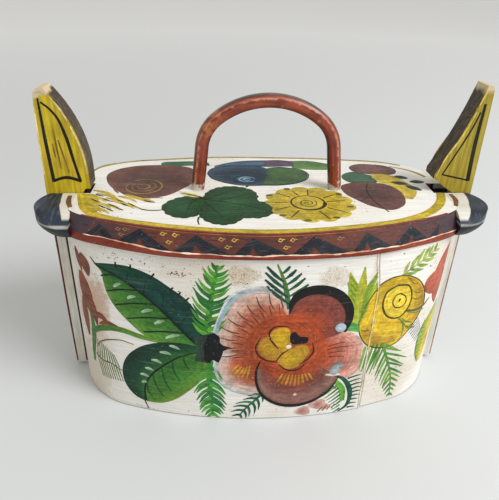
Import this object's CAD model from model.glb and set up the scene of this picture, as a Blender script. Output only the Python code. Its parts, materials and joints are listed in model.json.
import json
import math

import bmesh
import bpy
import numpy as np
from mathutils import Matrix

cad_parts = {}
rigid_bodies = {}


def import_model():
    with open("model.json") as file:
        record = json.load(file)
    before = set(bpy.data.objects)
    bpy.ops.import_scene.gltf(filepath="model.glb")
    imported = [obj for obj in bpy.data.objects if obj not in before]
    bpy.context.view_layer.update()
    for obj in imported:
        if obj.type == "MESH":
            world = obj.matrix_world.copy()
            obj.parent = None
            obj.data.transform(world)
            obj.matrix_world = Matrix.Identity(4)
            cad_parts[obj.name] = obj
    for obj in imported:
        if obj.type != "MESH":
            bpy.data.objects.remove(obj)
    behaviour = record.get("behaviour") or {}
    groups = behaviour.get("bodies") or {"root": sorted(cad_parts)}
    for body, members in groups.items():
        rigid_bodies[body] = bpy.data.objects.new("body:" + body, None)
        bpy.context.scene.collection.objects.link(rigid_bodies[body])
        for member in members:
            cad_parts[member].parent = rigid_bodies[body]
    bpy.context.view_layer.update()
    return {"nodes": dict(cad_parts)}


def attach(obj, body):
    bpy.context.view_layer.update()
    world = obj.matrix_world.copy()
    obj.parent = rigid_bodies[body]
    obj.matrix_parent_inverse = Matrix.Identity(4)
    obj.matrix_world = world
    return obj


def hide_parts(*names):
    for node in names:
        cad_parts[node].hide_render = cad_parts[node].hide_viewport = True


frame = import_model()
print("the frame is loaded:", len(frame["nodes"]), "nodes")

# Lengths below are in millimetres; makeMesh turns them into the frame's metres.
millimetre = 0.001


def tone(code):
    # An sRGB colour code as linear light: below 0.04045 a straight line, above it the 2.4 power.
    value = np.array([int(code[i:i + 2], 16) / 255 for i in (1, 3, 5)])
    return np.where(value <= 0.04045, value / 12.92, ((value + 0.055) / 1.055) ** 2.4)


def easeStep(value):
    # Smooth step from 0 to 1: three squares less two cubes.
    value = np.clip(value, 0, 1)
    return value * value * (3 - 2 * value)


def smoothLine(points, count):
    # Cubic Hermite curve through the points, its slopes taken from the neighbours, evenly stepped.
    points = np.asarray(points, float)
    gaps = np.maximum(np.linalg.norm(np.diff(points, axis=0), axis=1), 1e-6)
    knots = np.concatenate([[0], np.cumsum(gaps)])
    if len(points) < 3:
        slopes = np.repeat((points[1:2] - points[:1]) / knots[-1], 2, axis=0)
    else:
        slopes = np.gradient(points, knots, axis=0)
    along = np.linspace(0, knots[-1], count)
    k = np.clip(np.searchsorted(knots, along, side="right") - 1, 0, len(gaps) - 1)
    step = gaps[k][:, None]
    f = ((along - knots[k]) / gaps[k])[:, None]
    return ((2 * f**3 - 3 * f**2 + 1) * points[k] + (f**3 - 2 * f**2 + f) * step * slopes[k]
            + (3 * f**2 - 2 * f**3) * points[k + 1] + (f**3 - f**2) * step * slopes[k + 1])


def straightLine(points, count):
    # Straight runs through the points, evenly stepped by length.
    points = np.asarray(points, float)
    knots = np.concatenate([[0], np.cumsum(np.linalg.norm(np.diff(points, axis=0), axis=1))])
    along = np.linspace(0, knots[-1], count)
    return np.stack([np.interp(along, knots, points[:, i]) for i in range(points.shape[1])], axis=1)


def lengthOf(points):
    # The sum of the straight steps.
    return float(np.linalg.norm(np.diff(np.asarray(points, float), axis=0), axis=1).sum())


def ovalLine(x, y, reachX, reachY, angles):
    # Points round a centre: the reaches times the cosine and the sine of each angle.
    return np.stack([x + reachX * np.cos(angles), y + reachY * np.sin(angles)], 1)


def gridFaces(rows, columns, wrapRows=False, wrapColumns=False, start=0):
    # Four corners for each cell of a grid, counted row by row.
    i = np.arange(rows if wrapRows else rows - 1)[:, None]
    j = np.arange(columns if wrapColumns else columns - 1)[None, :]
    nextRow = (i + 1) % rows
    nextColumn = (j + 1) % columns
    faces = np.stack(np.broadcast_arrays(
        i * columns + j, nextRow * columns + j,
        nextRow * columns + nextColumn, i * columns + nextColumn), axis=-1)
    return faces.reshape(-1, 4) + start


def makeMesh(name, points, faces, materials, body, faceMaterial=None, colours=None,
             brush=None, sharpAngle=35, turnOut=True):
    # Corners and faces in, one finished piece out, its doubled corners joined.
    mesh = bpy.data.meshes.new(name)
    mesh.vertices.add(len(points))
    mesh.vertices.foreach_set("co", (np.asarray(points) * millimetre).ravel())
    mesh.loops.add(faces.size)
    mesh.loops.foreach_set("vertex_index", faces.ravel().astype(np.int32))
    mesh.polygons.add(len(faces))
    mesh.polygons.foreach_set("loop_start", np.arange(0, faces.size, 4, dtype=np.int32))
    for material in materials:
        mesh.materials.append(material)
    if faceMaterial is not None:
        mesh.polygons.foreach_set("material_index", np.asarray(faceMaterial, dtype=np.int32))
    mesh.update(calc_edges=True)
    if colours is not None:
        paint = mesh.attributes.new("paint", "FLOAT_COLOR", "POINT")
        paint.data.foreach_set("color", np.c_[colours, np.ones(len(colours))].ravel())
    if brush is not None:
        layer = mesh.uv_layers.new(name="brush")
        layer.data.foreach_set("uv", np.asarray(brush)[faces.ravel()].ravel())
    work = bmesh.new()
    work.from_mesh(mesh)
    bmesh.ops.remove_doubles(work, verts=work.verts, dist=2e-6)
    if turnOut:
        bmesh.ops.recalc_face_normals(work, faces=work.faces)
    work.to_mesh(mesh)
    work.free()
    mesh.shade_smooth()
    mesh.set_sharp_from_angle(angle=math.radians(sharpAngle))
    piece = bpy.data.objects.new(name, mesh)
    bpy.context.collection.objects.link(piece)
    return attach(piece, body)


# Values for the paints and the woods.
finish = {
    "ground": "#dfdacf", "groundPale": "#efeeeb", "groundStain": "#c6b191", "speck": "#4d3a28",
    "grainScale": 34.0, "grainLines": 1050.0,
    "wood": "#8a6a44", "woodDark": "#5c4128",
}


class Nodes:
    # A short way to add shader nodes and join them.
    def __init__(self, name):
        self.material = bpy.data.materials.new(name)
        self.material.use_nodes = True
        self.tree = self.material.node_tree
        self.shader = self.tree.nodes["Principled BSDF"]

    def add(self, kind, **values):
        # A new node; each value goes to its setting or else to its input of that name.
        node = self.tree.nodes.new(kind)
        for key, value in values.items():
            if hasattr(node, key):
                setattr(node, key, value)
            else:
                node.inputs[key.replace("_", " ")].default_value = value
        return node

    def join(self, out, into):
        self.tree.links.new(out, into)

    def noise(self, vector, scale, detail=3.0, stretch=(1, 1, 1)):
        # Cloudy noise at the place times the stretch.
        place = self.add("ShaderNodeMapping", Scale=stretch)
        self.join(vector, place.inputs["Vector"])
        node = self.add("ShaderNodeTexNoise", Scale=scale, Detail=detail)
        self.join(place.outputs["Vector"], node.inputs["Vector"])
        return node.outputs["Fac"]

    def ramp(self, value, low, high, least=0.0, most=1.0):
        # Straight from least at low to most at high, held level past both.
        node = self.add("ShaderNodeMapRange", clamp=True)
        for key, number in (("From Min", low), ("From Max", high), ("To Min", least), ("To Max", most)):
            node.inputs[key].default_value = number
        self.join(value, node.inputs["Value"])
        return node.outputs["Result"]

    def mix(self, share, first, second, how="MIX"):
        # The first colour, with the second one's share over it.
        node = self.add("ShaderNodeMix", data_type="RGBA", blend_type=how)
        for socket, value in ((node.inputs[0], share), (node.inputs[6], first), (node.inputs[7], second)):
            if isinstance(value, str):
                socket.default_value = (*tone(value), 1)
            elif isinstance(value, (int, float)):
                socket.default_value = value
            else:
                self.join(value, socket)
        return node.outputs[2]

    def math(self, how, first, second):
        node = self.add("ShaderNodeMath", operation=how)
        for socket, value in zip(node.inputs, (first, second)):
            if isinstance(value, (int, float)):
                socket.default_value = value
            else:
                self.join(value, socket)
        return node.outputs["Value"]

    def bump(self, height, depth, strength=0.6):
        node = self.add("ShaderNodeBump", Strength=strength, Distance=depth)
        self.join(height, node.inputs["Height"])
        self.join(node.outputs["Normal"], self.shader.inputs["Normal"])

    def objectPlace(self):
        return self.add("ShaderNodeTexCoord").outputs["Object"]


def groundPaint(name, lines, stainShare=0.55, blots=()):
    # Off-white ground: long brush lines, warm stains, specks where the stain is strong, soft worn blots.
    n = Nodes(name)
    place = n.objectPlace()
    parts = n.add("ShaderNodeSeparateXYZ")
    n.join(place, parts.inputs["Vector"])
    facing = n.ramp(parts.outputs["Y"], 0.0, -0.004)
    streak = n.noise(place, 1.0, 4.0, lines)
    fine = n.noise(place, 1.0, 2.0, tuple(2.6 * v for v in lines))
    patch = n.noise(place, 17.0, 4.0)
    base = n.mix(n.ramp(streak, 0.3, 0.7), finish["ground"], finish["groundPale"])
    base = n.mix(n.ramp(fine, 0.52, 0.78, 0.0, 0.32), base, finish["groundStain"])
    stain = n.ramp(patch, 0.50, 0.76, 0.0, stainShare)
    base = n.mix(stain, base, finish["groundStain"])
    dots = n.noise(place, 950.0, 2.0)
    where = n.ramp(patch, 0.48, 0.66)
    base = n.mix(n.math("MULTIPLY", n.ramp(dots, 0.66, 0.71), where), base, finish["speck"])
    rare = n.noise(place, 420.0, 1.0)
    base = n.mix(n.ramp(rare, 0.755, 0.775, 0.0, 0.8), base, finish["speck"])
    ragged = n.noise(place, 260.0, 4.0)
    pits = n.noise(place, 1500.0, 2.0)
    for x, z, wide, tall, code, share, pitShare in blots:
        # Soft round mask: one at the middle, none where the squared distances pass one.
        across = n.math("MULTIPLY", n.math("ADD", parts.outputs["X"], -x / 1000), 1000 / wide)
        up = n.math("MULTIPLY", n.math("ADD", parts.outputs["Z"], -z / 1000), 1000 / tall)
        far = n.math("ADD", n.math("MULTIPLY", across, across), n.math("MULTIPLY", up, up))
        far = n.math("ADD", far, n.ramp(ragged, 0.3, 0.7, -0.5, 0.5))
        mask = n.math("MULTIPLY", n.ramp(far, 1.15, 0.35), facing)
        base = n.mix(n.math("MULTIPLY", mask, share), base, code)
        base = n.mix(n.math("MULTIPLY", mask, n.ramp(pits, 0.52, 0.60, 0.0, pitShare)), base, "#84694e")
    n.join(base, n.shader.inputs["Base Color"])
    n.join(n.ramp(streak, 0.2, 0.8, 0.46, 0.64), n.shader.inputs["Roughness"])
    n.shader.inputs["Specular IOR Level"].default_value = 0.28
    n.bump(n.math("ADD", streak, fine), 0.00030, 0.6)
    return n.material


def brushedPaint(name, lines, wear=0.10, rough=0.46, ground="#cfc4aa"):
    # The stroke's own colour: brush hairs along it, the wood's lines across it, worn in fine scratches.
    n = Nodes(name)
    colour = n.add("ShaderNodeAttribute", attribute_name="paint").outputs["Color"]
    along = n.add("ShaderNodeUVMap", uv_map="brush").outputs["UV"]
    place = n.objectPlace()
    hair = n.noise(along, 1.0, 3.0, (0.09, 1.0, 1))
    cloud = n.noise(place, 110.0, 3.0)
    grain = n.noise(place, 1.0, 3.0, lines)
    fine = n.noise(place, 420.0, 2.0)
    shade = n.mix(1.0, colour, n.ramp(hair, 0.30, 0.72, 0.80, 1.26), "MULTIPLY")
    shade = n.mix(1.0, shade, n.ramp(cloud, 0.36, 0.70, 1.16, 0.74), "MULTIPLY")
    shade = n.mix(1.0, shade, n.ramp(grain, 0.34, 0.60, 0.82, 1.10), "MULTIPLY")
    shade = n.mix(1.0, shade, n.ramp(fine, 0.36, 0.64, 0.84, 1.16), "MULTIPLY")
    shade = n.mix(n.ramp(grain, 0.62, 0.75, 0.0, wear * 1.5), shade, ground)
    spot = n.noise(place, 900.0, 3.0)
    gone = n.math("MULTIPLY", n.ramp(spot, 0.67, 0.72), n.ramp(cloud, 0.42, 0.62, 0.0, 5.0 * wear))
    shade = n.mix(gone, shade, ground)
    n.join(shade, n.shader.inputs["Base Color"])
    n.join(n.ramp(hair, 0.2, 0.8, rough - 0.08, rough + 0.12), n.shader.inputs["Roughness"])
    n.shader.inputs["Specular IOR Level"].default_value = 0.22
    n.bump(n.math("ADD", hair, grain), 0.00018, 0.5)
    return n.material


def mottledPaint(name, tones, lines, rough=0.42, chip="#d9c8a8", chips=0.25, ends=None):
    # Three tones of one coat: broad clouds, brush lines along the piece, and pale chips.
    # The tone for the ends comes in past 60 mm from the middle.
    first, second, third = tones
    n = Nodes(name)
    place = n.objectPlace()
    cloud = n.noise(place, 48.0, 4.0)
    streak = n.noise(place, 1.0, 4.0, lines)
    base = n.mix(n.ramp(cloud, 0.36, 0.64), first, second)
    base = n.mix(n.ramp(streak, 0.5, 0.74, 0.0, 0.75), base, third)
    if ends:
        parts = n.add("ShaderNodeSeparateXYZ")
        n.join(place, parts.inputs["Vector"])
        far = n.ramp(n.math("ABSOLUTE", parts.outputs["X"], 0), 0.060, 0.096)
        ragged = n.ramp(n.noise(place, 150.0, 4.0), 0.36, 0.56, 0.25, 1.0)
        base = n.mix(n.math("MULTIPLY", far, ragged), base, ends)
    spot = n.noise(place, 620.0, 3.0)
    chipped = n.math("MULTIPLY", n.ramp(spot, 0.66, 0.70), n.ramp(cloud, 0.45, 0.6, 0.0, chips))
    base = n.mix(chipped, base, chip)
    n.join(base, n.shader.inputs["Base Color"])
    n.join(n.ramp(streak, 0.2, 0.8, rough - 0.06, rough + 0.12), n.shader.inputs["Roughness"])
    n.shader.inputs["Specular IOR Level"].default_value = 0.25
    n.bump(streak, 0.00025, 0.55)
    return n.material


def woodGrain(name, lines):
    # Bare wood: grain lines drawn out along one way, broken by broad darker bands.
    n = Nodes(name)
    place = n.objectPlace()
    grain = n.noise(place, 1.0, 6.0, lines)
    base = n.mix(n.ramp(grain, 0.35, 0.65), finish["woodDark"], finish["wood"])
    base = n.mix(n.ramp(n.noise(place, 40.0, 3.0), 0.4, 0.7, 0.0, 0.4), base, "#6f5236")
    n.join(base, n.shader.inputs["Base Color"])
    n.shader.inputs["Roughness"].default_value = 0.62
    n.bump(grain, 0.0003, 0.5)
    return n.material


acrossLines = (finish["grainScale"], finish["grainScale"], finish["grainLines"])
lidLines = (finish["grainScale"], finish["grainLines"], finish["grainScale"])
# Worn blots on the wall's front: middle x and z, half width and height, tone, its share, share of pits.
wallBlots = (
    (-15, 104, 9.5, 7.0, "#c9b595", 0.62, 0.75), (35, 102, 9.5, 7.0, "#d6c8b2", 0.6, 0.5),
    (-94, 77, 6.5, 16, "#bf9474", 0.62, 0.2), (-102, 66, 10, 34, "#c9ab8c", 0.55, 0.1),
    (-106, 18, 12, 26, "#c4b196", 0.5, 0.1), (57, 60, 3.0, 60, "#cdb59c", 0.35, 0.2))
wallGround = groundPaint("wallGround", acrossLines, 0.55, wallBlots)
lidGround = groundPaint("lidGround", lidLines, 0.35)
wallStrokes = brushedPaint("wallStrokes", acrossLines)
lidStrokes = brushedPaint("lidStrokes", lidLines, 0.08)
postStrokes = brushedPaint("postStrokes", (500, 500, 40), 0.03)
bareWood = woodGrain("bareWood", (30, 420, 420))
pegWood = woodGrain("pegWood", (300, 300, 60))
print("the plain materials are made")


# Values for the bent wall.
wallSet = {
    "halfLength": 117.0, "halfDepth": 59.5, "endRadius": 48.0, "height": 115.45, "thickness": 3.6,
    "coat": 0.12, "rim": 0.55, "lapStart": -8.0, "lapEdge": 62.4, "lapRise": 0.9, "lapRamp": 0.7,
    "lapCut": 3.4, "lapCutFrom": 88.0, "lapCutRun": 27.0, "lapZone": (54, 66), "lapStep": 0.22,
    "step": 2.0, "outerRows": 46, "innerRows": 12, "cornerRows": 4, "lastPainted": 50, "paintMargin": 0.7,
}


def ovalShape(halfLength, halfDepth, endRadius):
    # Four-arc oval: side radius from the two arcs touching, the turn where they meet, side half length.
    reach = halfLength - endRadius
    side = (reach**2 + halfDepth**2 - endRadius**2) / (2 * (halfDepth - endRadius))
    turn = math.acos(reach / (side - endRadius))
    return side, turn, side * (math.pi / 2 - turn)


def ovalDepth(x, halfLength, halfDepth, endRadius):
    # Half depth of the oval at x: the side arc up to the joint, the end arc past it.
    side, turn, _ = ovalShape(halfLength, halfDepth, endRadius)
    x = np.minimum(np.abs(x), halfLength)
    joint = (halfLength - endRadius) + endRadius * math.cos(turn)
    onSide = np.sqrt(np.maximum(side**2 - x**2, 0)) - (side - halfDepth)
    onEnd = np.sqrt(np.maximum(endRadius**2 - (x - halfLength + endRadius) ** 2, 0))
    return np.where(x < joint, onSide, onEnd)


wallSide, wallTurn, wallFront = ovalShape(
    wallSet["halfLength"], wallSet["halfDepth"], wallSet["endRadius"])
wallQuarter = wallFront + wallSet["endRadius"] * wallTurn


def lapEdgeAt(z):
    # The outer layer's end: nearly upright, wavy, cut back at the top.
    w = wallSet
    wave = 0.12 * np.sin(z / 9.0) + 0.08 * np.sin(z / 3.3 + 1)
    return w["lapEdge"] + wave - w["lapCut"] * easeStep((z - w["lapCutFrom"]) / w["lapCutRun"])


def lapRise(s, z):
    # The outer layer swells slowly towards its end and drops at the end's wavy edge.
    w = wallSet
    grown = easeStep((s - w["lapStart"]) / (w["lapEdge"] - w["lapStart"]))
    drop = np.clip((lapEdgeAt(z) - s) / w["lapRamp"], 0, 1)
    return w["lapRise"] * grown * drop


def wallPoint(s, z, h):
    # s runs round the outer face from the middle of the front; the point stands h off the face.
    w = wallSet
    s = (s + 2 * wallQuarter) % (4 * wallQuarter) - 2 * wallQuarter
    way = np.where(s < 0, -1.0, 1.0)
    run = np.abs(s)
    back = run > wallQuarter
    run = np.where(back, 2 * wallQuarter - run, run)
    onSide = run < wallFront
    angle = np.where(onSide, run / wallSide - math.pi / 2, -wallTurn + (run - wallFront) / w["endRadius"])
    radius = np.where(onSide, wallSide, w["endRadius"])
    centreX = np.where(onSide, 0.0, w["halfLength"] - w["endRadius"])
    centreY = np.where(onSide, wallSide - w["halfDepth"], 0.0)
    off = radius + h + np.where(h > -1, lapRise(s, z), 0)
    x = way * (centreX + off * np.cos(angle))
    y = centreY + off * np.sin(angle)
    return np.stack([x, np.where(back, -y, y), z + 0 * s], axis=-1)


def makeWall():
    # A closed rim section carried round the oval; its columns crowd at the lap's edge.
    w = wallSet
    zoneStart, zoneEnd = w["lapZone"]
    rounds = np.concatenate([
        np.arange(-2 * wallQuarter, zoneStart, w["step"]), np.arange(zoneStart, zoneEnd, w["lapStep"]),
        np.arange(zoneEnd, 2 * wallQuarter - 0.5 * w["step"], w["step"])])
    rows = np.linspace(w["rim"], w["height"] - w["rim"], w["outerRows"])
    corner = np.linspace(0, math.pi / 2, w["cornerRows"])
    inside = -w["thickness"]
    turn = w["rim"]
    offs = np.concatenate([
        np.full(w["outerRows"], w["coat"]), w["coat"] - turn + turn * np.cos(corner[1:]),
        inside + turn - turn * np.sin(corner), np.full(w["innerRows"], inside),
        inside + turn - turn * np.cos(corner), w["coat"] - turn + turn * np.sin(corner[:-1])])
    levels = np.concatenate([
        rows, w["height"] - turn + turn * np.sin(corner[1:]),
        w["height"] - turn + turn * np.cos(corner), np.linspace(w["height"] - 2, 2, w["innerRows"]),
        turn - turn * np.sin(corner), turn - turn * np.cos(corner[:-1])])
    s, z = np.meshgrid(rounds, levels, indexing="ij")
    h = np.broadcast_to(offs, s.shape)
    points = wallPoint(s, z, h).reshape(-1, 3)
    faces = gridFaces(len(rounds), len(levels), True, True)
    bare = np.arange(len(levels)) > w["lastPainted"]
    wall = makeMesh("wallBand", points, faces, [wallGround, bareWood], "box",
                    faceMaterial=np.tile(bare, len(rounds)), sharpAngle=50)
    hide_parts("wall")


makeWall()
print("the wall is bent")

# Values for the lid board.
lidSet = {
    "low": 115.5, "top": 129.0, "edge": (124.5, 64.2, 48.0), "face": (119.3, 59.0, 42.8),
    "notchLeft": 99.95, "notchRight": 102.0, "notchSlant": 2.7, "notchHalf": 7.5,
    "shoulder": 106.0, "lobeX": 107.0, "lobeY": 20.5, "lobeRadius": 20.2, "undercut": 4.5,
    "undercutRise": 6.5, "undercutPower": 1.4, "neckLap": 1.5, "lobeLift": 0.02, "lobeSink": 0.05,
    "fallRun": 0.62, "fallScale": 0.68, "arris": 0.3, "tuck": 0.5, "tuckRun": 0.1, "backIn": 0.6,
    "edgeLow": 2.5, "leftRise": (2.7, 30, 70), "rightRise": (1.1, 45, 55),
    "edgeSwell": (1.2, 55, 22), "faceSwell": (0.8, -6, 34), "backSwell": (3.8, 86, 20),
    "backFlat": (3.4, 8, 38), "creamDown": (0.1262, 0.1252), "darkDown": (0.1235, 0.1215),
}
# An end of the lid: its notch, the crease on its lobes, how far they fall past it, their material.
lidEnds = {
    -1: {"notch": lidSet["notchLeft"], "crease": 28.5, "drop": 7.4, "paint": 4},
    1: {"notch": lidSet["notchRight"], "crease": 31.0, "drop": 5.2, "paint": 5},
}


def swell(x, size, middle, wide):
    # Bell curve: the size times e to the minus square of the distance from the middle in widths.
    return size * np.exp(-((x - middle) / wide) ** 2)


def frontEdge(x):
    # Front half depth at the lid's lower arris, a little fuller near the shoulders.
    bulge = swell(np.abs(x), *lidSet["edgeSwell"])
    return ovalDepth(x, *lidSet["edge"]) + bulge - lidSet["edgeSwell"][0]


def frontFace(x):
    # Front half depth of the top, a little fuller near the middle.
    return ovalDepth(x, *lidSet["face"]) + swell(x, *lidSet["faceSwell"])


def backEdge(x):
    # Back half depth at the lower arris: the oval, set in evenly.
    return ovalDepth(x, *lidSet["edge"]) - lidSet["backIn"]


def backFace(x):
    # Back half depth of the top: flat in the middle, fuller near the ends.
    bulge = swell(np.abs(x), *lidSet["backSwell"])
    return ovalDepth(x, *lidSet["face"]) - swell(x, *lidSet["backFlat"]) + bulge


def edgeHeight(x):
    # The upright red edge is low in the middle and higher at both ends.
    wave = 0.25 * np.sin(x / 7.0) + 0.15 * np.sin(x / 2.9)
    leftSize, leftFrom, leftRun = lidSet["leftRise"]
    rightSize, rightFrom, rightRun = lidSet["rightRise"]
    return (lidSet["edgeLow"] + leftSize * easeStep((-x - leftFrom) / leftRun)
            + rightSize * easeStep((x - rightFrom) / rightRun) + wave)


def lidHeight(x, w):
    # w from 0 at the underside, past its share at the arris, to 1 at the top; straight in between.
    low = lidSet["low"]
    share = lidSet["arris"]
    arris = low + edgeHeight(x)
    return np.where(w < share, low + edgeHeight(x) * w / share,
                    arris + (lidSet["top"] - arris) * (w - share) / (1 - share))


def lidDepths(x, w):
    # Front and back half depth at height w: upright under the arris, sloping above it.
    g = lidSet
    slope = np.clip((w - g["arris"]) / (1 - g["arris"]), 0, 1)
    tuck = g["tuck"] * np.clip(1 - w / g["tuckRun"], 0, 1)
    front = frontEdge(x) + (frontFace(x) - frontEdge(x)) * slope - tuck
    back = backEdge(x) + (backFace(x) - backEdge(x)) * slope - tuck
    return front, back


def lidBody(f, v, w):
    # f along the lid between the slanted notch walls, v from front to back, w from below to the top.
    g = lidSet
    z = lidHeight(-g["notchLeft"] + (g["notchLeft"] + g["notchRight"]) * f, w)
    slant = g["notchSlant"] * (g["top"] - z) / (g["top"] - g["low"])
    x = -(g["notchLeft"] + slant) + (g["notchLeft"] + g["notchRight"] + 2 * slant) * f
    front, back = lidDepths(x, w)
    return np.stack([x, -front + (front + back) * v, z], axis=-1)


def boxSides(shape, counts):
    # Six grids over the faces of a unit box, carried through the shape; returns points, faces, sides.
    points, faces, sides = [], [], []
    total = 0
    for axis in range(3):
        others = [a for a in range(3) if a != axis]
        first, second = (counts[a] for a in others)
        for end in (0, 1):
            a, b = np.meshgrid(first, second, indexing="ij")
            place = [None, None, None]
            place[others[0]], place[others[1]] = a, b
            place[axis] = np.full(a.shape, float(end))
            points.append(shape(*place).reshape(-1, 3))
            faces.append(gridFaces(len(first), len(second), start=total))
            sides.append(np.full(len(faces[-1]), 2 * axis + end))
            total += a.size
    return np.concatenate(points), np.concatenate(faces), np.concatenate(sides)


bandRed = mottledPaint("bandRed", ("#57302a", "#6e3c30", "#3a2e30"), (40, 700, 700), ends="#453b42")
brickEdge = mottledPaint("brickEdge", ("#7a2c1a", "#8e3d2a", "#551f14"), (30, 700, 900), 0.4,
                         "#d98a5c", 0.5)


def lobePaint(name, reachX, reachY, crest):
    # Off-white inside an oval drawn on the lid's top, navy outside it and on everything lower down.
    n = Nodes(name)
    place = n.objectPlace()
    parts = n.add("ShaderNodeSeparateXYZ")
    n.join(place, parts.inputs["Vector"])
    cloud = n.noise(place, 70.0, 4.0)
    streak = n.noise(place, 1.0, 4.0, (700, 90, 300))
    lines = n.noise(place, 1.0, 4.0, lidLines)
    x = n.math("MULTIPLY", parts.outputs["X"], 1000 / reachX)
    y = n.math("MULTIPLY", parts.outputs["Y"], 1000 / reachY)
    ring = n.math("ADD", n.math("MULTIPLY", x, x), n.math("MULTIPLY", y, y))
    ring = n.math("ADD", ring, n.ramp(cloud, 0.3, 0.7, -0.008, 0.008))
    below = n.ramp(parts.outputs["Z"], *lidSet["creamDown"])
    outside = n.math("MAXIMUM", n.ramp(ring, 0.996, 1.006), below)
    cream = n.mix(n.ramp(lines, 0.3, 0.7), "#ccc8bc", "#d9d6cd")
    cream = n.mix(n.ramp(cloud, 0.45, 0.68, 0.0, 0.35), cream, finish["groundStain"])
    navy = n.mix(n.ramp(cloud, 0.35, 0.65), "#20252e", "#2e3542")
    navy = n.mix(n.ramp(streak, 0.52, 0.74, 0.0, 0.7), navy, "#56606e")
    low = n.ramp(parts.outputs["Z"], *lidSet["darkDown"], 0.0, 0.75)
    navy = n.mix(low, navy, "#131a1a")
    fromCrest = n.math("ABSOLUTE", n.math("ADD", parts.outputs["Z"], -crest / 1000), 0)
    crease = n.ramp(fromCrest, 0.0009, 0.0003)
    navy = n.mix(n.math("MULTIPLY", crease, n.ramp(cloud, 0.40, 0.60, 0.15, 0.8)), navy, "#b4b3a8")
    base = n.mix(outside, cream, navy)
    n.join(base, n.shader.inputs["Base Color"])
    n.shader.inputs["Roughness"].default_value = 0.46
    n.shader.inputs["Specular IOR Level"].default_value = 0.3
    n.bump(streak, 0.00025, 0.5)
    return n.material


leftLobePaint = lobePaint("leftLobePaint", 115.5, 114.9, 122.9)
rightLobePaint = lobePaint("rightLobePaint", 120.7, 94.1, 123.6)


def makeLid():
    # The board between the notches, and at each end a neck and a lobe on both sides of the notch.
    g = lidSet
    heights = np.concatenate([[0, 0.1, 0.2, 0.3], np.linspace(0.3, 1, 7)[1:]])
    points, faces, sides = boxSides(lidBody, [np.linspace(0, 1, 105), np.linspace(0, 1, 33), heights])
    middle = points[faces].mean(axis=1)
    underArris = middle[:, 2] < g["low"] + edgeHeight(middle[:, 0])
    # Kinds of face: 0 top, 1 sloping rim, 2 upright edge, 3 bare wood, 4 and 5 the lobes.
    kind = np.where(sides == 5, 0, np.where(sides == 4, 3, 1))
    kind = np.where((sides == 2) | (sides == 3), np.where(underArris, 2, 1), kind)
    kind = np.where(sides < 2, 3, kind)
    allPoints, allFaces, allKinds = [points], [faces], [kind]
    total = len(points)
    for way, end in lidEnds.items():
        notch, crease, drop, lobeKind = (end[k] for k in ("notch", "crease", "drop", "paint"))
        for facing in (-1, 1):
            def neck(f, v, w):
                # From the slanted notch wall out to the shoulder, and from the notch's side to the rim.
                z = lidHeight(way * (notch + 2), w)
                start = notch + g["notchSlant"] * (g["top"] - z) / (g["top"] - g["low"])
                x = start + (g["shoulder"] + g["neckLap"] - start) * f
                front, back = lidDepths(x, w)
                depth = front if facing < 0 else back
                across = g["notchHalf"] + (depth - g["notchHalf"]) * v
                return np.stack([way * x, facing * across, z], -1)

            def lobe(f, v, w):
                # Round plan about the lobe's centre, tucked in below, its outer part falling past a crease.
                turn = f * math.pi / 2
                low = g["low"] + g["lobeLift"]
                wide = g["shoulder"] + (g["lobeX"] - g["shoulder"] + g["lobeRadius"]) * np.sin(turn)
                half = np.sqrt(np.maximum(g["lobeRadius"] ** 2 - (wide - g["lobeX"]) ** 2, 0))
                inner = np.maximum(g["notchHalf"], g["lobeY"] - half)
                across = inner + (g["lobeY"] + half - inner) * v
                past = (across - crease) / (g["lobeY"] + g["lobeRadius"] - crease)
                fall = drop * easeStep(past * g["fallRun"]) / g["fallScale"]
                z = low + (g["top"] - g["lobeSink"] - fall - low) * w
                under = np.clip(1 - (z - low) / g["undercutRise"], 0, 1)
                tuck = g["undercut"] * under ** g["undercutPower"]
                radius = g["lobeRadius"] - tuck
                x = g["shoulder"] + (g["lobeX"] - g["shoulder"] + radius) * np.sin(turn)
                half = np.sqrt(np.maximum(radius**2 - (x - g["lobeX"]) ** 2, 0))
                inner = np.maximum(g["notchHalf"], g["lobeY"] - half)
                across = inner + (g["lobeY"] + half - inner) * v
                return np.stack([way * x, facing * across, z], -1)

            for shape, counts, paints in (
                    (neck, [np.linspace(0, 1, 6), np.linspace(0, 1, 14), heights], (3, 3, 3, 1, 3, 0)),
                    (lobe, [np.linspace(0, 1, 22), np.linspace(0, 1, 22), np.linspace(0, 1, 10)],
                     (lobeKind, lobeKind, lobeKind, lobeKind, 3, lobeKind))):
                points, faces, sides = boxSides(shape, counts)
                kind = np.array(paints)[sides]
                middle = points[faces].mean(axis=1)
                underArris = middle[:, 2] < g["low"] + edgeHeight(middle[:, 0])
                kind = np.where((kind == 1) & underArris, 2, kind)
                allPoints.append(points)
                allFaces.append(faces + total)
                allKinds.append(kind)
                total += len(points)
    paints = [lidGround, bandRed, brickEdge, bareWood, leftLobePaint, rightLobePaint]
    lid = makeMesh("lidBoard", np.concatenate(allPoints), np.concatenate(allFaces), paints, "lid",
                   faceMaterial=np.concatenate(allKinds), sharpAngle=38)
    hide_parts("lid_board")


makeLid()
print("the lid is carved")

# Paint strokes are thin closed shells that follow the surface they are painted on.
strokeSet = {
    "skin": 0.045, "layer": 0.035, "dome": 0.03, "root": 0.08, "step": 1.3, "across": 1.6,
    "bandWide": 12.4,
}


def lidTop(x, y, h):
    # The flat top, h above it.
    return np.stack([x, y, lidSet["top"] + h + 0 * x], axis=-1)


def slopePoint(x, w, h, edge, face, way):
    # x along the rim, w up the slope from the lower arris, h square to the slope.
    arris = lidSet["low"] + edgeHeight(x)
    rise = lidSet["top"] - arris
    run = edge - face
    size = np.hypot(rise, run)
    w = w / strokeSet["bandWide"]
    depth = edge - run * w + h * rise / size
    return np.stack([x, way * depth, arris + rise * w + h * run / size], axis=-1)


def bevelPoint(x, w, h):
    # The slope between the front's two edges.
    return slopePoint(x, w, h, frontEdge(x), frontFace(x), -1)


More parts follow.
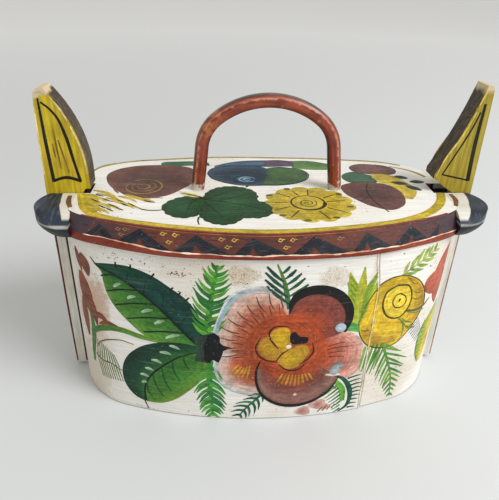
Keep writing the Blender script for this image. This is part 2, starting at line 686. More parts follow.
def rearBevelPoint(x, w, h):
    # The same between the back's two edges, half a turn round.
    return slopePoint(-x, w, h, backEdge(-x), backFace(-x), 1)


def wallFace(s, z, h):
    # The painted face of the wall: its ground coat stands a little off the bare wood.
    margin = wallSet["paintMargin"]
    return wallPoint(s, np.clip(z, margin, wallSet["height"] - margin), h + wallSet["coat"])


def wallRear(s, z, h):
    # The same face half way round the oval.
    return wallFace(s + 2 * wallQuarter, z, h)


def scallop(outline, count, depth):
    # A closed outline pushed out between evenly spaced nicks.
    outline = np.asarray(outline, float)
    ring = smoothLine(np.concatenate([outline, outline[:1]]), 7 * count + 1)[:-1]
    ahead = np.roll(ring, -1, axis=0) - np.roll(ring, 1, axis=0)
    ahead /= np.linalg.norm(ahead, axis=1, keepdims=True)
    out = np.stack([ahead[:, 1], -ahead[:, 0]], axis=1)
    around = np.sum(ring[:, 0] * np.roll(ring[:, 1], -1) - ring[:, 1] * np.roll(ring[:, 0], -1))
    push = depth * np.abs(np.sin(np.arange(len(ring)) * math.pi / 7)) ** 0.7
    return ring + out * (math.copysign(1, around) * push)[:, None]


def newPot(surface):
    # A pot gathers strokes on one surface until they become a piece.
    return {"surface": surface, "points": [], "faces": [], "colours": [], "brush": [], "count": 0}


def spreadTones(codes, count):
    # The colours at even steps, blended straight from one to the next.
    tones = np.array([tone(c) for c in codes])
    at = np.linspace(0, 1, len(tones))
    where = np.linspace(0, 1, count)
    return np.stack([np.interp(where, at, tones[:, i]) for i in range(3)], axis=1)


def addSlab(pot, grid, colours, layer, closed=False):
    # Each row's ring runs over the top of the stroke and back underneath; end rows are capped.
    rows, columns = grid.shape[:2]
    down = grid[1:, :-1] - grid[:-1, :-1]
    over = grid[:-1, 1:] - grid[:-1, :-1]
    if np.sum(down[..., 0] * over[..., 1] - down[..., 1] * over[..., 0]) < 0:
        grid = grid[:, ::-1]
        colours = colours[:, ::-1]
    t = np.linspace(-1, 1, columns)
    top = strokeSet["skin"] + layer * strokeSet["layer"] + strokeSet["dome"] * (1 - t**2)
    ring = np.concatenate([grid, grid[:, ::-1]], axis=1)
    h = np.broadcast_to(np.concatenate([top, np.full(columns, -strokeSet["root"])]), ring.shape[:2])
    points = pot["surface"](ring[..., 0], ring[..., 1], h)
    size = 2 * columns
    faces = [gridFaces(rows, size, closed, True, pot["count"])]
    if not closed:
        j = np.arange(columns - 1)
        first = np.stack([j, j + 1, size - 2 - j, size - 1 - j], axis=1)
        faces += [first + pot["count"], first[:, ::-1] + pot["count"] + (rows - 1) * size]
    along = np.concatenate([[0], np.cumsum(np.linalg.norm(
        np.diff(grid[:, columns // 2], axis=0), axis=1))])
    across = np.concatenate([[0], np.cumsum(np.linalg.norm(
        np.diff(grid[rows // 2], axis=0), axis=1))])
    u, v = np.meshgrid(along + 7.3 * pot["count"] % 97, across + 3.1 * pot["count"] % 89, indexing="ij")
    pot["points"].append(points.reshape(-1, 3))
    pot["faces"] += faces
    pot["colours"].append(np.concatenate([colours, colours[:, ::-1]], axis=1).reshape(-1, 3))
    pot["brush"].append(np.stack([np.concatenate([u, u[:, ::-1]], 1),
                                  np.concatenate([v, v[:, ::-1]], 1)], -1).reshape(-1, 2))
    pot["count"] += rows * size


def fill(pot, edgeA, edgeB, codes, layer=0, along=None, share=0.5, bend=smoothLine):
    # The sheet between two edges: straight from the first to the second at each step along them.
    rows = int(np.clip(max(lengthOf(edgeA), lengthOf(edgeB)) / strokeSet["step"], 6, 110))
    a, b = bend(edgeA, rows), bend(edgeB, rows)
    wide = np.linalg.norm(a - b, axis=1).max()
    columns = int(np.clip(wide / strokeSet["across"], 3, 26))
    t = np.linspace(0, 1, columns)[None, :, None]
    grid = a[:, None] * (1 - t) + b[:, None] * t
    colours = np.broadcast_to(spreadTones(codes, columns)[None], (rows, columns, 3)).copy()
    if along:
        colours = colours * (1 - share) + spreadTones(along, rows)[:, None] * share
    addSlab(pot, grid, colours, layer)


def line(pot, points, widths, code, layer=2, endCode=None):
    # A brush line: the centre line moved half its width to each side.
    count = int(np.clip(lengthOf(points) / strokeSet["step"], 4, 140))
    centre = smoothLine(points, count)
    ahead = np.gradient(centre, axis=0)
    ahead /= np.maximum(np.linalg.norm(ahead, axis=1, keepdims=True), 1e-9)
    side = np.stack([-ahead[:, 1], ahead[:, 0]], axis=1)
    half = np.interp(np.linspace(0, 1, count), np.linspace(0, 1, len(widths)), widths)[:, None] / 2
    columns = 3 if max(widths) < 2.2 else 5
    t = np.linspace(-1, 1, columns)[None, :, None]
    grid = centre[:, None] + (side * half)[:, None] * t
    colours = np.broadcast_to(spreadTones([code, endCode or code], count)[:, None], (count, columns, 3))
    addSlab(pot, grid, colours, layer)


def lines(pot, paths, widths, code, layer=2):
    # One brush line along each path.
    for path in paths:
        line(pot, path, widths, code, layer)


def bowedLines(pot, ends, widths, code, layer, side=0.0, up=0.0, endCode=None):
    # One brush line from each first point to its second, the middle moved sideways and up.
    for x1, y1, x2, y2 in ends:
        middle = ((x1 + x2) / 2 + side, (y1 + y2) / 2 + up)
        line(pot, [(x1, y1), middle, (x2, y2)], widths, code, layer, endCode)


def disc(pot, outline, codes, layer=0, centre=None, bend=smoothLine):
    # Rings from the centre out to a closed outline, tones from the centre to the rim.
    outline = np.asarray(outline, float)
    if bend is smoothLine:
        count = int(np.clip(lengthOf(outline) / strokeSet["step"], 14, 120))
        dense = smoothLine(np.concatenate([outline[-1:], outline, outline[:2]]), 8 * count)
        near = np.argmin(np.linalg.norm(dense[:4 * count] - outline[0], axis=1))
        far = 4 * count + np.argmin(np.linalg.norm(dense[4 * count:] - outline[0], axis=1))
        rim = straightLine(dense[near:far + 1], count + 1)[:-1]
    else:
        closedLine = np.concatenate([outline, outline[:1]])
        count = int(np.clip(lengthOf(closedLine) / strokeSet["step"], 14, 120))
        rim = straightLine(closedLine, count + 1)[:-1]
    middle = rim.mean(axis=0) if centre is None else np.asarray(centre, float)
    reach = np.linalg.norm(rim - middle, axis=1).max()
    columns = int(np.clip(reach / strokeSet["across"], 4, 22))
    t = np.linspace(0, 1, columns)[None, :, None]
    grid = middle + (rim[:, None] - middle) * t
    colours = np.broadcast_to(spreadTones(codes, columns)[None], (len(rim), columns, 3))
    addSlab(pot, grid, colours, layer, closed=True)


def loopLine(pot, points, widths, code, layer=3):
    # A line all the way round: the first points come again at the end.
    line(pot, list(points) + list(points[:1]), widths, code, layer)


def frond(pot, stem, count, lengths, lean, widths, codes, layer=1, stemWidths=(1.6, 0.6), start=0.08,
          curl=0.18, seed=1):
    # Leaflets in pairs up a stem: each leans off the stem's own direction and curls towards its tip.
    chance = np.random.default_rng(seed)
    spine = smoothLine(stem, 60)
    line(pot, stem, list(stemWidths), codes[0], layer)
    for k in range(count):
        at = start + (0.97 - start) * k / max(count - 1, 1)
        index = int(at * 58)
        ahead = spine[index + 1] - spine[index]
        ahead /= np.linalg.norm(ahead)
        reach = np.interp(at, np.linspace(0, 1, len(lengths)), lengths)
        for way in (-1, 1):
            size = reach * chance.uniform(0.86, 1.1)
            turn = math.radians(lean + chance.uniform(-5, 5)) * way
            aim = np.array([ahead[0] * math.cos(turn) - ahead[1] * math.sin(turn),
                            ahead[0] * math.sin(turn) + ahead[1] * math.cos(turn)])
            root = spine[index]
            tip = root + aim * size + ahead * size * curl
            line(pot, [root, root + aim * size * 0.55, tip], widths,
                 codes[int(chance.integers(len(codes)))], layer + 1)


def comb(pot, starts, ends, count, widths, codes, layer=2, sag=0.0):
    # Strokes in a row: both ends step evenly from the first stroke to the last.
    a, b = smoothLine(starts, count), smoothLine(ends, count)
    for k in range(count):
        middle = (a[k] + b[k]) / 2 + np.array([0, -sag])
        line(pot, [a[k], middle, b[k]], widths, codes[k % len(codes)], layer)


def emptyPot(pot, name, body, material, turnOut=False):
    # The pot's strokes become one piece.
    makeMesh(name, np.concatenate(pot["points"]), np.concatenate(pot["faces"]), [material], body,
             colours=np.concatenate(pot["colours"]), brush=np.concatenate(pot["brush"]), turnOut=turnOut)


def paintLeaves(surface, name):
    # Two large leaves, each in two halves along its vein, with side veins, pale dabs and a dark heel.
    pot = newPot(surface)
    upperVein = [(-97, 102), (-85, 97.5), (-71.7, 89.6), (-56.5, 75.9), (-45, 62.5), (-37, 54)]
    fill(pot, [(-97, 102.4), (-89, 104), (-75, 104.3), (-63, 100.5), (-54, 94.7), (-44, 86.7), (-37, 75.4),
               (-33, 66), (-33, 56)], upperVein, ["#0f3326", "#0f3a30", "#164a40", "#0b2a24"], 0,
         ["#173f24", "#0f3a32", "#0a2c26"])
    fill(pot, upperVein, [(-97, 101.6), (-93, 98), (-92.5, 92.6), (-90.8, 84), (-87.4, 77), (-78.6, 66.5),
                          (-70, 59), (-60, 54.5), (-38.5, 50)],
         ["#1f4f22", "#336c29", "#4b822e", "#679438"], 0, ["#305c2e", "#3c742a", "#51882e"], 0.4)
    lowerVein = [(-37, 52.5), (-49.8, 46.8), (-60.5, 38.2), (-70, 26.8), (-73.4, 17), (-73, 8)]
    fill(pot, [(-36, 55), (-48, 57), (-61, 55.7), (-74, 50), (-83.8, 39.4), (-87, 29.5), (-86, 18.8),
               (-80, 10), (-73.5, 7)], lowerVein,
         ["#0a2820", "#0c3228", "#113c2c", "#22572b", "#376f30"], 1, ["#225628", "#0d3324", "#22582a"], 0.35)
    fill(pot, lowerVein, [(-36, 51), (-33.5, 41.8), (-36.4, 32.4), (-45.4, 20.8), (-54, 12.6), (-62.4, 8),
                          (-73, 7)],
         ["#2a5f23", "#356c28", "#487e2d", "#769a32"], 1, ["#4b822c", "#326a26", "#5d8a2e"], 0.35)
    for vein in (upperVein, lowerVein):
        line(pot, vein, [0.5, 1.0, 1.3, 1.1], "#0c1f19", 3)
    line(pot, [(-99.5, 105.5), (-96, 101.6), (-90, 99.5)], [0.5, 1.1, 0.8], "#0c1f19", 3)
    line(pot, [(-73.7, 15), (-73.6, 5.8), (-71.8, 1.2)], [1.0, 0.8, 0.4], "#14301f", 3)
    upperRibs = ((-83.3, 97, -93.5, 95.2), (-72, 89.8, -91, 85.9), (-63.5, 82, -86.3, 77.6),
                 (-54.3, 73.6, -79.8, 69.5), (-45, 64.5, -70.6, 61.8))
    bowedLines(pot, upperRibs, [0.7, 1.0, 0.9], "#10261a", 3, up=0.9)
    lines(pot, ([(-58.3, 76.5), (-57.2, 91)], [(-50, 67.5), (-44, 78)], [(-69, 87), (-66.5, 97)],
                [(-78, 93.5), (-76.5, 101)]), [0.8, 0.5], "#0d2a26", 2)
    lines(pot, ([(-83.4, 102.4), (-83.3, 106)], [(-75.2, 102.6), (-74.4, 105.8)],
                [(-64.5, 98.2), (-61.4, 102.2)], [(-53.4, 92.3), (-51.6, 94.6)],
                [(-45.4, 86.2), (-43, 88.9)], [(-49, 90), (-47.4, 92)]), [1.3, 0.8], "#10231a", 2)
    lowerRibs = ((-47.6, 48.5, -44.5, 37.6), (-54.7, 43.6, -50.5, 27.4), (-61.4, 36.6, -56.4, 18.6),
                 (-67.2, 30, -61.6, 13.6), (-71.4, 22, -68.6, 11.6))
    bowedLines(pot, lowerRibs, [0.9, 1.1, 0.6], "#1b4a22", 3, side=-1.3)
    dabs = ((-85.9, 89.8, -81.5, 92.6), (-78.3, 83.6, -73.3, 85.6), (-70.7, 75.6, -64.0, 78),
            (-63.7, 68.6, -57.6, 71.6), (-57.6, 59.6, -49.4, 62.6), (-55.6, 54.3, -49.6, 52.2),
            (-61.8, 48.6, -55, 47.8), (-67.4, 41.8, -61, 40.2), (-71.8, 34.5, -66.6, 33.4),
            (-75.3, 29.2, -69.9, 28), (-74.8, 22.6, -71.5, 23.4))
    bowedLines(pot, dabs, [1.2, 2.4, 0.8], "#a9c3a4", 4, up=0.6, endCode="#7fa37c")
    fill(pot, [(-41, 62), (-40, 54), (-41, 45)], [(-31.5, 66), (-31, 54), (-32, 44)],
         ["#2d4638", "#27352f", "#20282a"], 4)
    disc(pot, [(-35.4, 46), (-35.6, 56), (-33.4, 63.9), (-29.9, 66.6), (-26.4, 63.6), (-26.6, 59.6),
               (-24.8, 57.6), (-20.3, 56.2), (-24.6, 53.6), (-25.6, 49), (-27.4, 44.6), (-30.4, 46.8),
               (-33, 44.2)], ["#0d0f14", "#101218", "#0c0d12"], 5, bend=straightLine)
    emptyPot(pot, name, "box", wallStrokes)


def paintSprigs(surface, name):
    # Fronds, stems, buds and blades about the flowers, under them where they cross.
    pot = newPot(surface)
    green = ["#347a28", "#46902c", "#27682c", "#5a9c34"]
    frond(pot, [(-34, 62), (-32.6, 76), (-30.6, 92), (-27.4, 110.4)], 13, [11, 12, 11.5, 9, 4], 60,
          [2.8, 2.2, 0.4], green, 0, (4.6, 1.2), 0.06, 0.26, seed=2)
    frond(pot, [(-32.5, 46), (-32.8, 30), (-31.8, 15), (-31, 1.4)], 12, [9, 11.5, 11.5, 9, 4.5], 54,
          [2.6, 2.1, 0.4], ["#3c8433", "#4d9436", "#27703c", "#2f7a34"], 0, (4.6, 1.2), 0.12, 0.26, seed=3)
    line(pot, [(-62, 56.6), (-74.7, 58.2), (-80.6, 59.6), (-90.7, 60.0), (-100, 56.5), (-108, 50.5)],
         [2.6, 3.6, 4.2, 3.4], "#5d8a30", 1, endCode="#3f702c")
    line(pot, [(-108.2, 72), (-106, 61), (-107.1, 46.4), (-109.6, 35), (-110.6, 26)],
         [1.0, 3.2, 4.4, 3.6, 2.2], "#4f7a34", 1, endCode="#3a6a34")
    line(pot, [(-105.4, 39.8), (-101.5, 45.5), (-94.7, 50), (-86, 52.3), (-77.6, 51)], [0.7, 0.9, 0.4],
         "#5a6630", 2)
    line(pot, [(-107, 34), (-102, 31.5), (-95, 31.8), (-87.4, 28.6)], [1.2, 1.0, 0.6], "#55682a", 2)
    comb(pot, [(-106, 33), (-97, 32), (-89, 30.5)], [(-103.5, 47), (-99, 44.6), (-92, 39.6)], 9,
         [0.8, 0.5], ["#5d6b2c", "#4f6428"], 2)
    comb(pot, [(-106, 32.5), (-98, 31.6), (-89.5, 29.5)], [(-103.5, 17.5), (-95.5, 18.6), (-87.4, 19.6)], 10,
         [0.8, 0.5], ["#5d6b2c", "#6a7836"], 2)
    for points, wide in (
            ([(-113.4, 107), (-111.6, 100), (-109.4, 93)], 5.0),
            ([(-108.6, 104.6), (-105.6, 99.4), (-103.4, 91.6)], 8.6),
            ([(-111.4, 92), (-108.8, 79), (-106.0, 64)], 12.0),
            ([(-105.0, 78), (-103.6, 68), (-101.8, 58)], 6.2),
            ([(-112.4, 75), (-113.4, 60), (-112.6, 45)], 7.4),
            ([(-105, 63.6), (-98.5, 66.4), (-92, 62)], 4.6),
            ([(-100, 59.8), (-94, 63.0), (-86.6, 62.2)], 3.0)):
        line(pot, points, [share * wide for share in (0.3, 0.78, 1, 0.92, 0.6, 0.2)], "#8a4630", 1,
             endCode="#744030")
    deep = ["#173f33", "#1d4f3c", "#234f2f"]
    line(pot, [(11.3, 83), (9.6, 92), (7.6, 101), (3.6, 111.4)], [2.2, 3.0, 2.0, 0.8], "#23583a", 1,
         endCode="#5c7f2c")
    for ends in ((10.8, 86.5, -1.6, 98), (10.4, 90.5, -2.6, 102.2), (9.2, 95.4, -2.6, 106.6),
                 (7.4, 100.6, -1.8, 110), (11.2, 88, 21, 94.6), (11, 91.4, 20.8, 98.6),
                 (10.2, 95, 18.8, 102.6), (9.2, 98.8, 16.6, 105.6), (8.2, 102.6, 13.6, 108),
                 (6.6, 106, 10.2, 110.2)):
        bowedLines(pot, [ends], [0.9, 2.2, 1.1], deep[int(abs(ends[0] * 7)) % 3], 2, up=-0.5)
    frond(pot, [(-1, 21.5), (-6, 15), (-11, 9), (-15, 2.5)], 6, [6, 8, 8, 4], 56, [1.9, 1.5, 0.4],
          ["#1f5a3c", "#1a4a36", "#2a6a48"], 1, (1.8, 0.8), 0.06, 0.3, seed=4)
    line(pot, [(42, 32), (47.5, 28.6), (52.4, 21), (54.2, 12), (52.6, 5), (47.6, 1)],
         [1.2, 2.6, 3.4, 3.2, 2.4, 1.0], "#17483a", 2)
    fill(pot, [(44.5, 28), (50, 20.5), (51, 10)], [(42.5, 26), (46.4, 18), (48, 9)],
         ["#4d8f34", "#6faa3c"], 1)
    comb(pot, [(43.3, 26.5), (47.5, 16), (48.4, 3.6)], [(34.4, 17.4), (39.6, 11), (44.2, 0.9)], 9,
         [1.3, 0.9, 0.4], ["#1d5240", "#3f8a3c"], 2, 0.4)
    comb(pot, [(51, 27.6), (55.4, 17), (53.4, 3)], [(60, 29.2), (61.4, 18), (58.6, 2.6)], 9,
         [1.4, 1.1, 0.4], ["#1b4c3c", "#22603f"], 2, -0.4)
    for place, size in (((24.4, 5.0), 4.4), ((33.6, 9.4), 4.8), ((38.6, 6.6), 3.0)):
        angle = np.linspace(0, 2 * math.pi, 13)[:-1]
        reach = size * (1 + 0.14 * np.sin(3 * angle + size))
        disc(pot, ovalLine(*place, 1.15 * reach, 0.85 * reach, angle), ["#a8685e", "#b98a80", "#cbaea2"], 1)
    comb(pot, [(34, 3), (38, 3.6), (43, 4.4)], [(37, 7), (41, 7.6), (44.6, 8)], 4, [0.8, 0.5],
         ["#7a6248"], 3)
    olive = ["#98a52e", "#a9ab34", "#7f9a2e"]
    for points, widths, pick in (
            ([(50.6, 66), (49.4, 78), (47, 92), (43.2, 104)], [1.8, 7, 7.5, 0.8], 0),
            ([(51.6, 66), (51.6, 80), (51.4, 94), (51.4, 107)], [1.8, 8, 6, 0.8], 1),
            ([(52.0, 66), (54.0, 80), (56, 92), (59.8, 103)], [1.6, 5.6, 5.6, 0.8], 2),
            ([(48.2, 84), (45.4, 92), (42.6, 98)], [3, 3.4, 0.8], 2),
            ([(56.4, 86), (59.4, 92), (61, 97)], [2.6, 2.8, 0.8], 0)):
        line(pot, points, widths, olive[pick], 1)
    comb(pot, [(48.6, 72), (48.4, 84), (48, 96)], [(46, 78), (45, 90), (44, 101)], 7, [0.7, 0.4],
         ["#5c7a22"], 3)
    comb(pot, [(53, 72), (54, 84), (54.4, 94)], [(56, 78), (57.6, 89), (58.6, 99)], 7, [0.7, 0.4],
         ["#6d8a28"], 3)
    fill(pot, [(44.6, 68.6), (48.6, 70.4), (53, 68)], [(44.4, 65.4), (48.6, 64.2), (54, 62.6)],
         ["#3f7f46", "#5b9a4a"], 2)
    frond(pot, [(71.4, 50), (76.6, 37), (81.4, 24), (84.6, 3)], 11, [17, 17.5, 13, 8, 3], 40,
          [1.5, 1.7, 0.4], ["#5f8c34", "#447f32", "#749a42", "#35783f"], 0, (2.2, 0.8), 0.0, 0.04, seed=5)
    comb(pot, [(59.5, 51), (66, 50.5), (71, 49)], [(57.6, 33), (61.6, 29.5), (66, 27)], 5, [1.6, 1.8, 0.6],
         ["#6b973a", "#4f8c36"], 1)
    frond(pot, [(76, 97), (83, 101), (90, 105), (97.6, 109.4)], 6, [7, 8.4, 7, 4], 46, [1.2, 2.6, 0.6],
          ["#97aa4c", "#b4b86a", "#7f9a44"], 0, (1.0, 0.6), 0.08, 0.2, seed=6)
    emptyPot(pot, name, "box", wallStrokes)


def paintBloom(surface, name):
    # The large flower: five petals between an arc near the heart and the petal's own outer edge.
    pot = newPot(surface)
    heart = np.array([11.0, 56.0])

    def petal(outer, codes, layer):
        # Its inner edge is its outer one drawn in to a part of its distance from the heart.
        outer = np.asarray(outer, float)
        fill(pot, heart + (outer - heart) * 0.22, outer, codes, layer)

    fire = ["#9e3f20", "#a34424", "#993e20", "#a04626"]
    petal([(-26.5, 51), (-30, 58), (-29.4, 67), (-26.6, 76), (-22, 88), (-15.6, 94.6), (-7.5, 97),
           (2.3, 95.4), (8, 90.4), (11.4, 83.2)],
          fire + ["#9e4526", "#a24c32", "#ac6049", "#bf8c76", "#c3a090", "#c0a89c", "#b9aca6"], 0)
    petal([(-25, 51), (-29.4, 44), (-30.4, 37), (-27.6, 29.6), (-21, 23.4), (-12, 20), (-4, 18.4),
           (-2.6, 24), (-3, 32)],
          fire + ["#a0482a", "#a34c30", "#ae6248", "#c29c8c", "#c6b2a8", "#bdb8b4"], 0)
    line(pot, [(-27, 56), (-28.6, 66), (-25.6, 77), (-20.6, 87.6), (-14.6, 93), (-7, 95.4), (1.4, 94.4)],
         [0.8, 2.4, 2.2, 3.0, 2.2, 1.6, 0.6], "#93a9b2", 2)
    line(pot, [(-29.4, 57), (-29.8, 67), (-27.4, 76), (-22.4, 88.4), (-15.8, 95.4), (-7.5, 98), (2.3, 96.2)],
         [0.6, 1.2, 0.9, 1.3, 1.0, 1.2, 0.5], "#c9cfcb", 2)
    line(pot, [(-28, 49), (-29, 38), (-26.4, 30.4), (-20, 24.6), (-11, 21.4), (-4.6, 20)],
         [0.6, 1.8, 1.4, 2.0, 1.4, 0.5], "#aab2b4", 2)
    petal([(36, 70), (45.4, 65.4), (53.4, 60), (58, 51), (58.6, 41), (56, 32), (50, 28.4), (42.6, 29.6),
           (38, 33)], fire + ["#a8553c", "#b26b58", "#b9796a", "#bf8779", "#cba598"], 1)
    petal([(11.2, 83.6), (14, 89.8), (19.6, 93.6), (29.5, 94.4), (38.6, 90.6), (45, 82), (46, 72),
           (43.6, 65), (38, 62)], fire + ["#96422a", "#874034", "#7b3e34", "#784038", "#6b3831"], 2)
    petal([(-3.4, 47), (-5, 39), (-4.6, 30), (-1.4, 21), (6.9, 13.6), (18.2, 10.8), (30, 13.6), (39.4, 21),
           (44.4, 30.4), (38, 36)], fire + ["#96462f", "#7d463c", "#7b5148", "#886259", "#765049"], 2)
    disc(pot, [(-9, 56), (-5, 72), (8, 79), (22, 77), (31, 67), (33.5, 54), (28, 41), (14, 35), (0, 38.5),
               (-7.6, 46)], ["#a34e1e", "#a54824", "#9f4222"], 3)
    angles = np.radians(np.arange(96, 196, 5.2))
    for k, angle in enumerate(angles):
        aim = np.array([math.cos(angle), math.sin(angle)])
        bow = np.array([-aim[1], aim[0]]) * 0.8
        line(pot, [heart + aim * 23, heart + aim * 27 + bow, heart + aim * (30 + 1.4 * (k % 2))],
             [2.6, 1.6, 0.4], "#a04a2a", 4, endCode="#b06a50")
        if k % 2 == 0:
            line(pot, [heart + aim * 28, heart + aim * 33 + bow, heart + aim * (37 + angle % 0.7 * 4)],
                 [0.5, 0.7, 0.3], "#55403a", 5)
        else:
            line(pot, [heart + aim * 24, heart + aim * 31 - bow], [0.5, 0.4], "#74301c", 5)
    for angle in np.radians(np.arange(20, 380, 7.5)):
        aim = np.array([math.cos(angle), math.sin(angle)])
        side = np.array([-aim[1], aim[0]])
        line(pot, [heart + aim * 17 - side * 3, heart + aim * 18.2 + side * 2, heart + aim * 17 + side * 6],
             [0.3, 0.6, 0.3], "#b0562a" if angle % 0.5 > 0.2 else "#83341c", 4)
    fill(pot, [(10.8, 86), (13.6, 92.6), (19.6, 96.6), (29.5, 97.4), (40, 92.9), (47.8, 82), (48.6, 72.7),
               (45.6, 64.2)],
         [(11.8, 79.4), (15.4, 87.6), (21, 91.2), (30.5, 91.2), (39, 86), (43.8, 76.7), (43.6, 68.3),
          (43.8, 64.6)], ["#0d100f", "#131413", "#1a1512"], 5)
    line(pot, [(-3.2, 47), (-5.4, 39), (-5, 30), (-2, 21), (6.9, 13.0), (18.2, 10.3), (31, 13.6),
               (40.4, 21.4), (45, 31)], [0.7, 1.3, 1.6, 2.0, 2.4, 2.3, 1.8, 1.2, 0.5], "#171412", 5)
    bowedLines(pot, [(35.7, 54.9, 46.4, 57), (35.2, 52.6, 47.7, 53.4), (36.2, 49.6, 48, 50),
                     (37.2, 47, 46.4, 46)], [0.8, 0.7, 0.4], "#7a3226", 4, up=0.5)
    lines(pot, ([(44, 63), (52, 57), (55.4, 48), (54, 38), (48, 33)],
                [(46, 59.6), (51, 54), (52.4, 46), (50.6, 38.6)]), [0.5, 1.2, 0.5], "#d39a86", 3)
    comb(pot, [(7, 30), (17, 26.4), (28.4, 31)], [(10.4, 36.6), (18, 35), (25.6, 36)], 9, [0.8, 1.4, 0.7],
         ["#b98a2c", "#a87a2a"], 4)
    comb(pot, [(-20.4, 38), (-16.4, 33.6), (-11, 33.4)], [(-15.6, 43.6), (-12.6, 41.6), (-9, 43.4)], 5,
         [0.8, 1.6, 0.7], ["#b0832c"], 4)
    line(pot, [(36.2, 33.4), (41, 32.8), (45.6, 32.2)], [1.0, 2.6, 0.8], "#d9c2b4", 4)
    gold = ["#c7a621", "#bd9420"]
    disc(pot, [(1.2, 62), (2.3, 67.7), (6.4, 70.3), (11.5, 70.2), (13.6, 64.7), (13.4, 56), (8.8, 52.8),
               (3.5, 55.8)], gold + ["#b98a22"], 4)
    disc(pot, [(-4.9, 57.9), (-3.3, 62.4), (1, 64.2), (5.7, 56.4), (9, 51.8), (6.1, 47.2), (0.2, 48.2),
               (-3.6, 52.3)], ["#bd9426", "#b88a24", "#a87822"], 5)
    disc(pot, [(6.2, 46.3), (8.9, 51.8), (15.2, 56.1), (22.6, 57.4), (24.6, 53.4), (22.6, 47), (18.5, 41.4),
               (14, 39.9), (9.4, 41.8)], gold + ["#b5882a"], 5)
    lines(pot, ([(-4.4, 61.6), (-6.2, 57), (-4.6, 51), (0.4, 47), (6.9, 45.6)],
                [(2.4, 62.6), (1, 66.4), (3.4, 70.6), (8, 71.6), (12.2, 70.6)],
                [(26.3, 58.6), (27.2, 52.2), (24.2, 46.8), (19.7, 43.6)],
                [(7.2, 44.6), (10.5, 40.8), (15.1, 38.7), (19.5, 39.6), (22.6, 42.8)],
                [(6, 46.4), (9, 51.6), (12.4, 54.4)], [(1.2, 63.2), (4.6, 58.4), (6.6, 55.6)]),
          [0.5, 1.0, 0.9, 0.5], "#3a1c12", 6)
    disc(pot, [(12.9, 62.6), (13.4, 66.2), (15.8, 67.2), (17.9, 64.2), (23.6, 62.4), (23, 59.2), (18, 58.6),
               (14.4, 58.6)], ["#120d14", "#16101a"], 6)
    for place, size, code in (((12.6, 56.8), 1.5, "#efe9da"), ((18.6, 19.6), 1.1, "#c9a89a")):
        angle = np.linspace(0, 2 * math.pi, 10)[:-1]
        disc(pot, ovalLine(*place, size, size, angle), [code, code], 7)
    disc(pot, [(38.5, 68.4), (41.6, 71.1), (45, 68.8), (44.6, 65.7), (40.8, 64.9)],
         ["#b4c2cf", "#a3b0bd"], 6)
    disc(pot, [(38.6, 34), (41.8, 41.4), (45.8, 41.7), (45.6, 36.8), (42, 32.4)],
         ["#a9b4ba", "#858f96"], 6)
    emptyPot(pot, name, "box", wallStrokes)


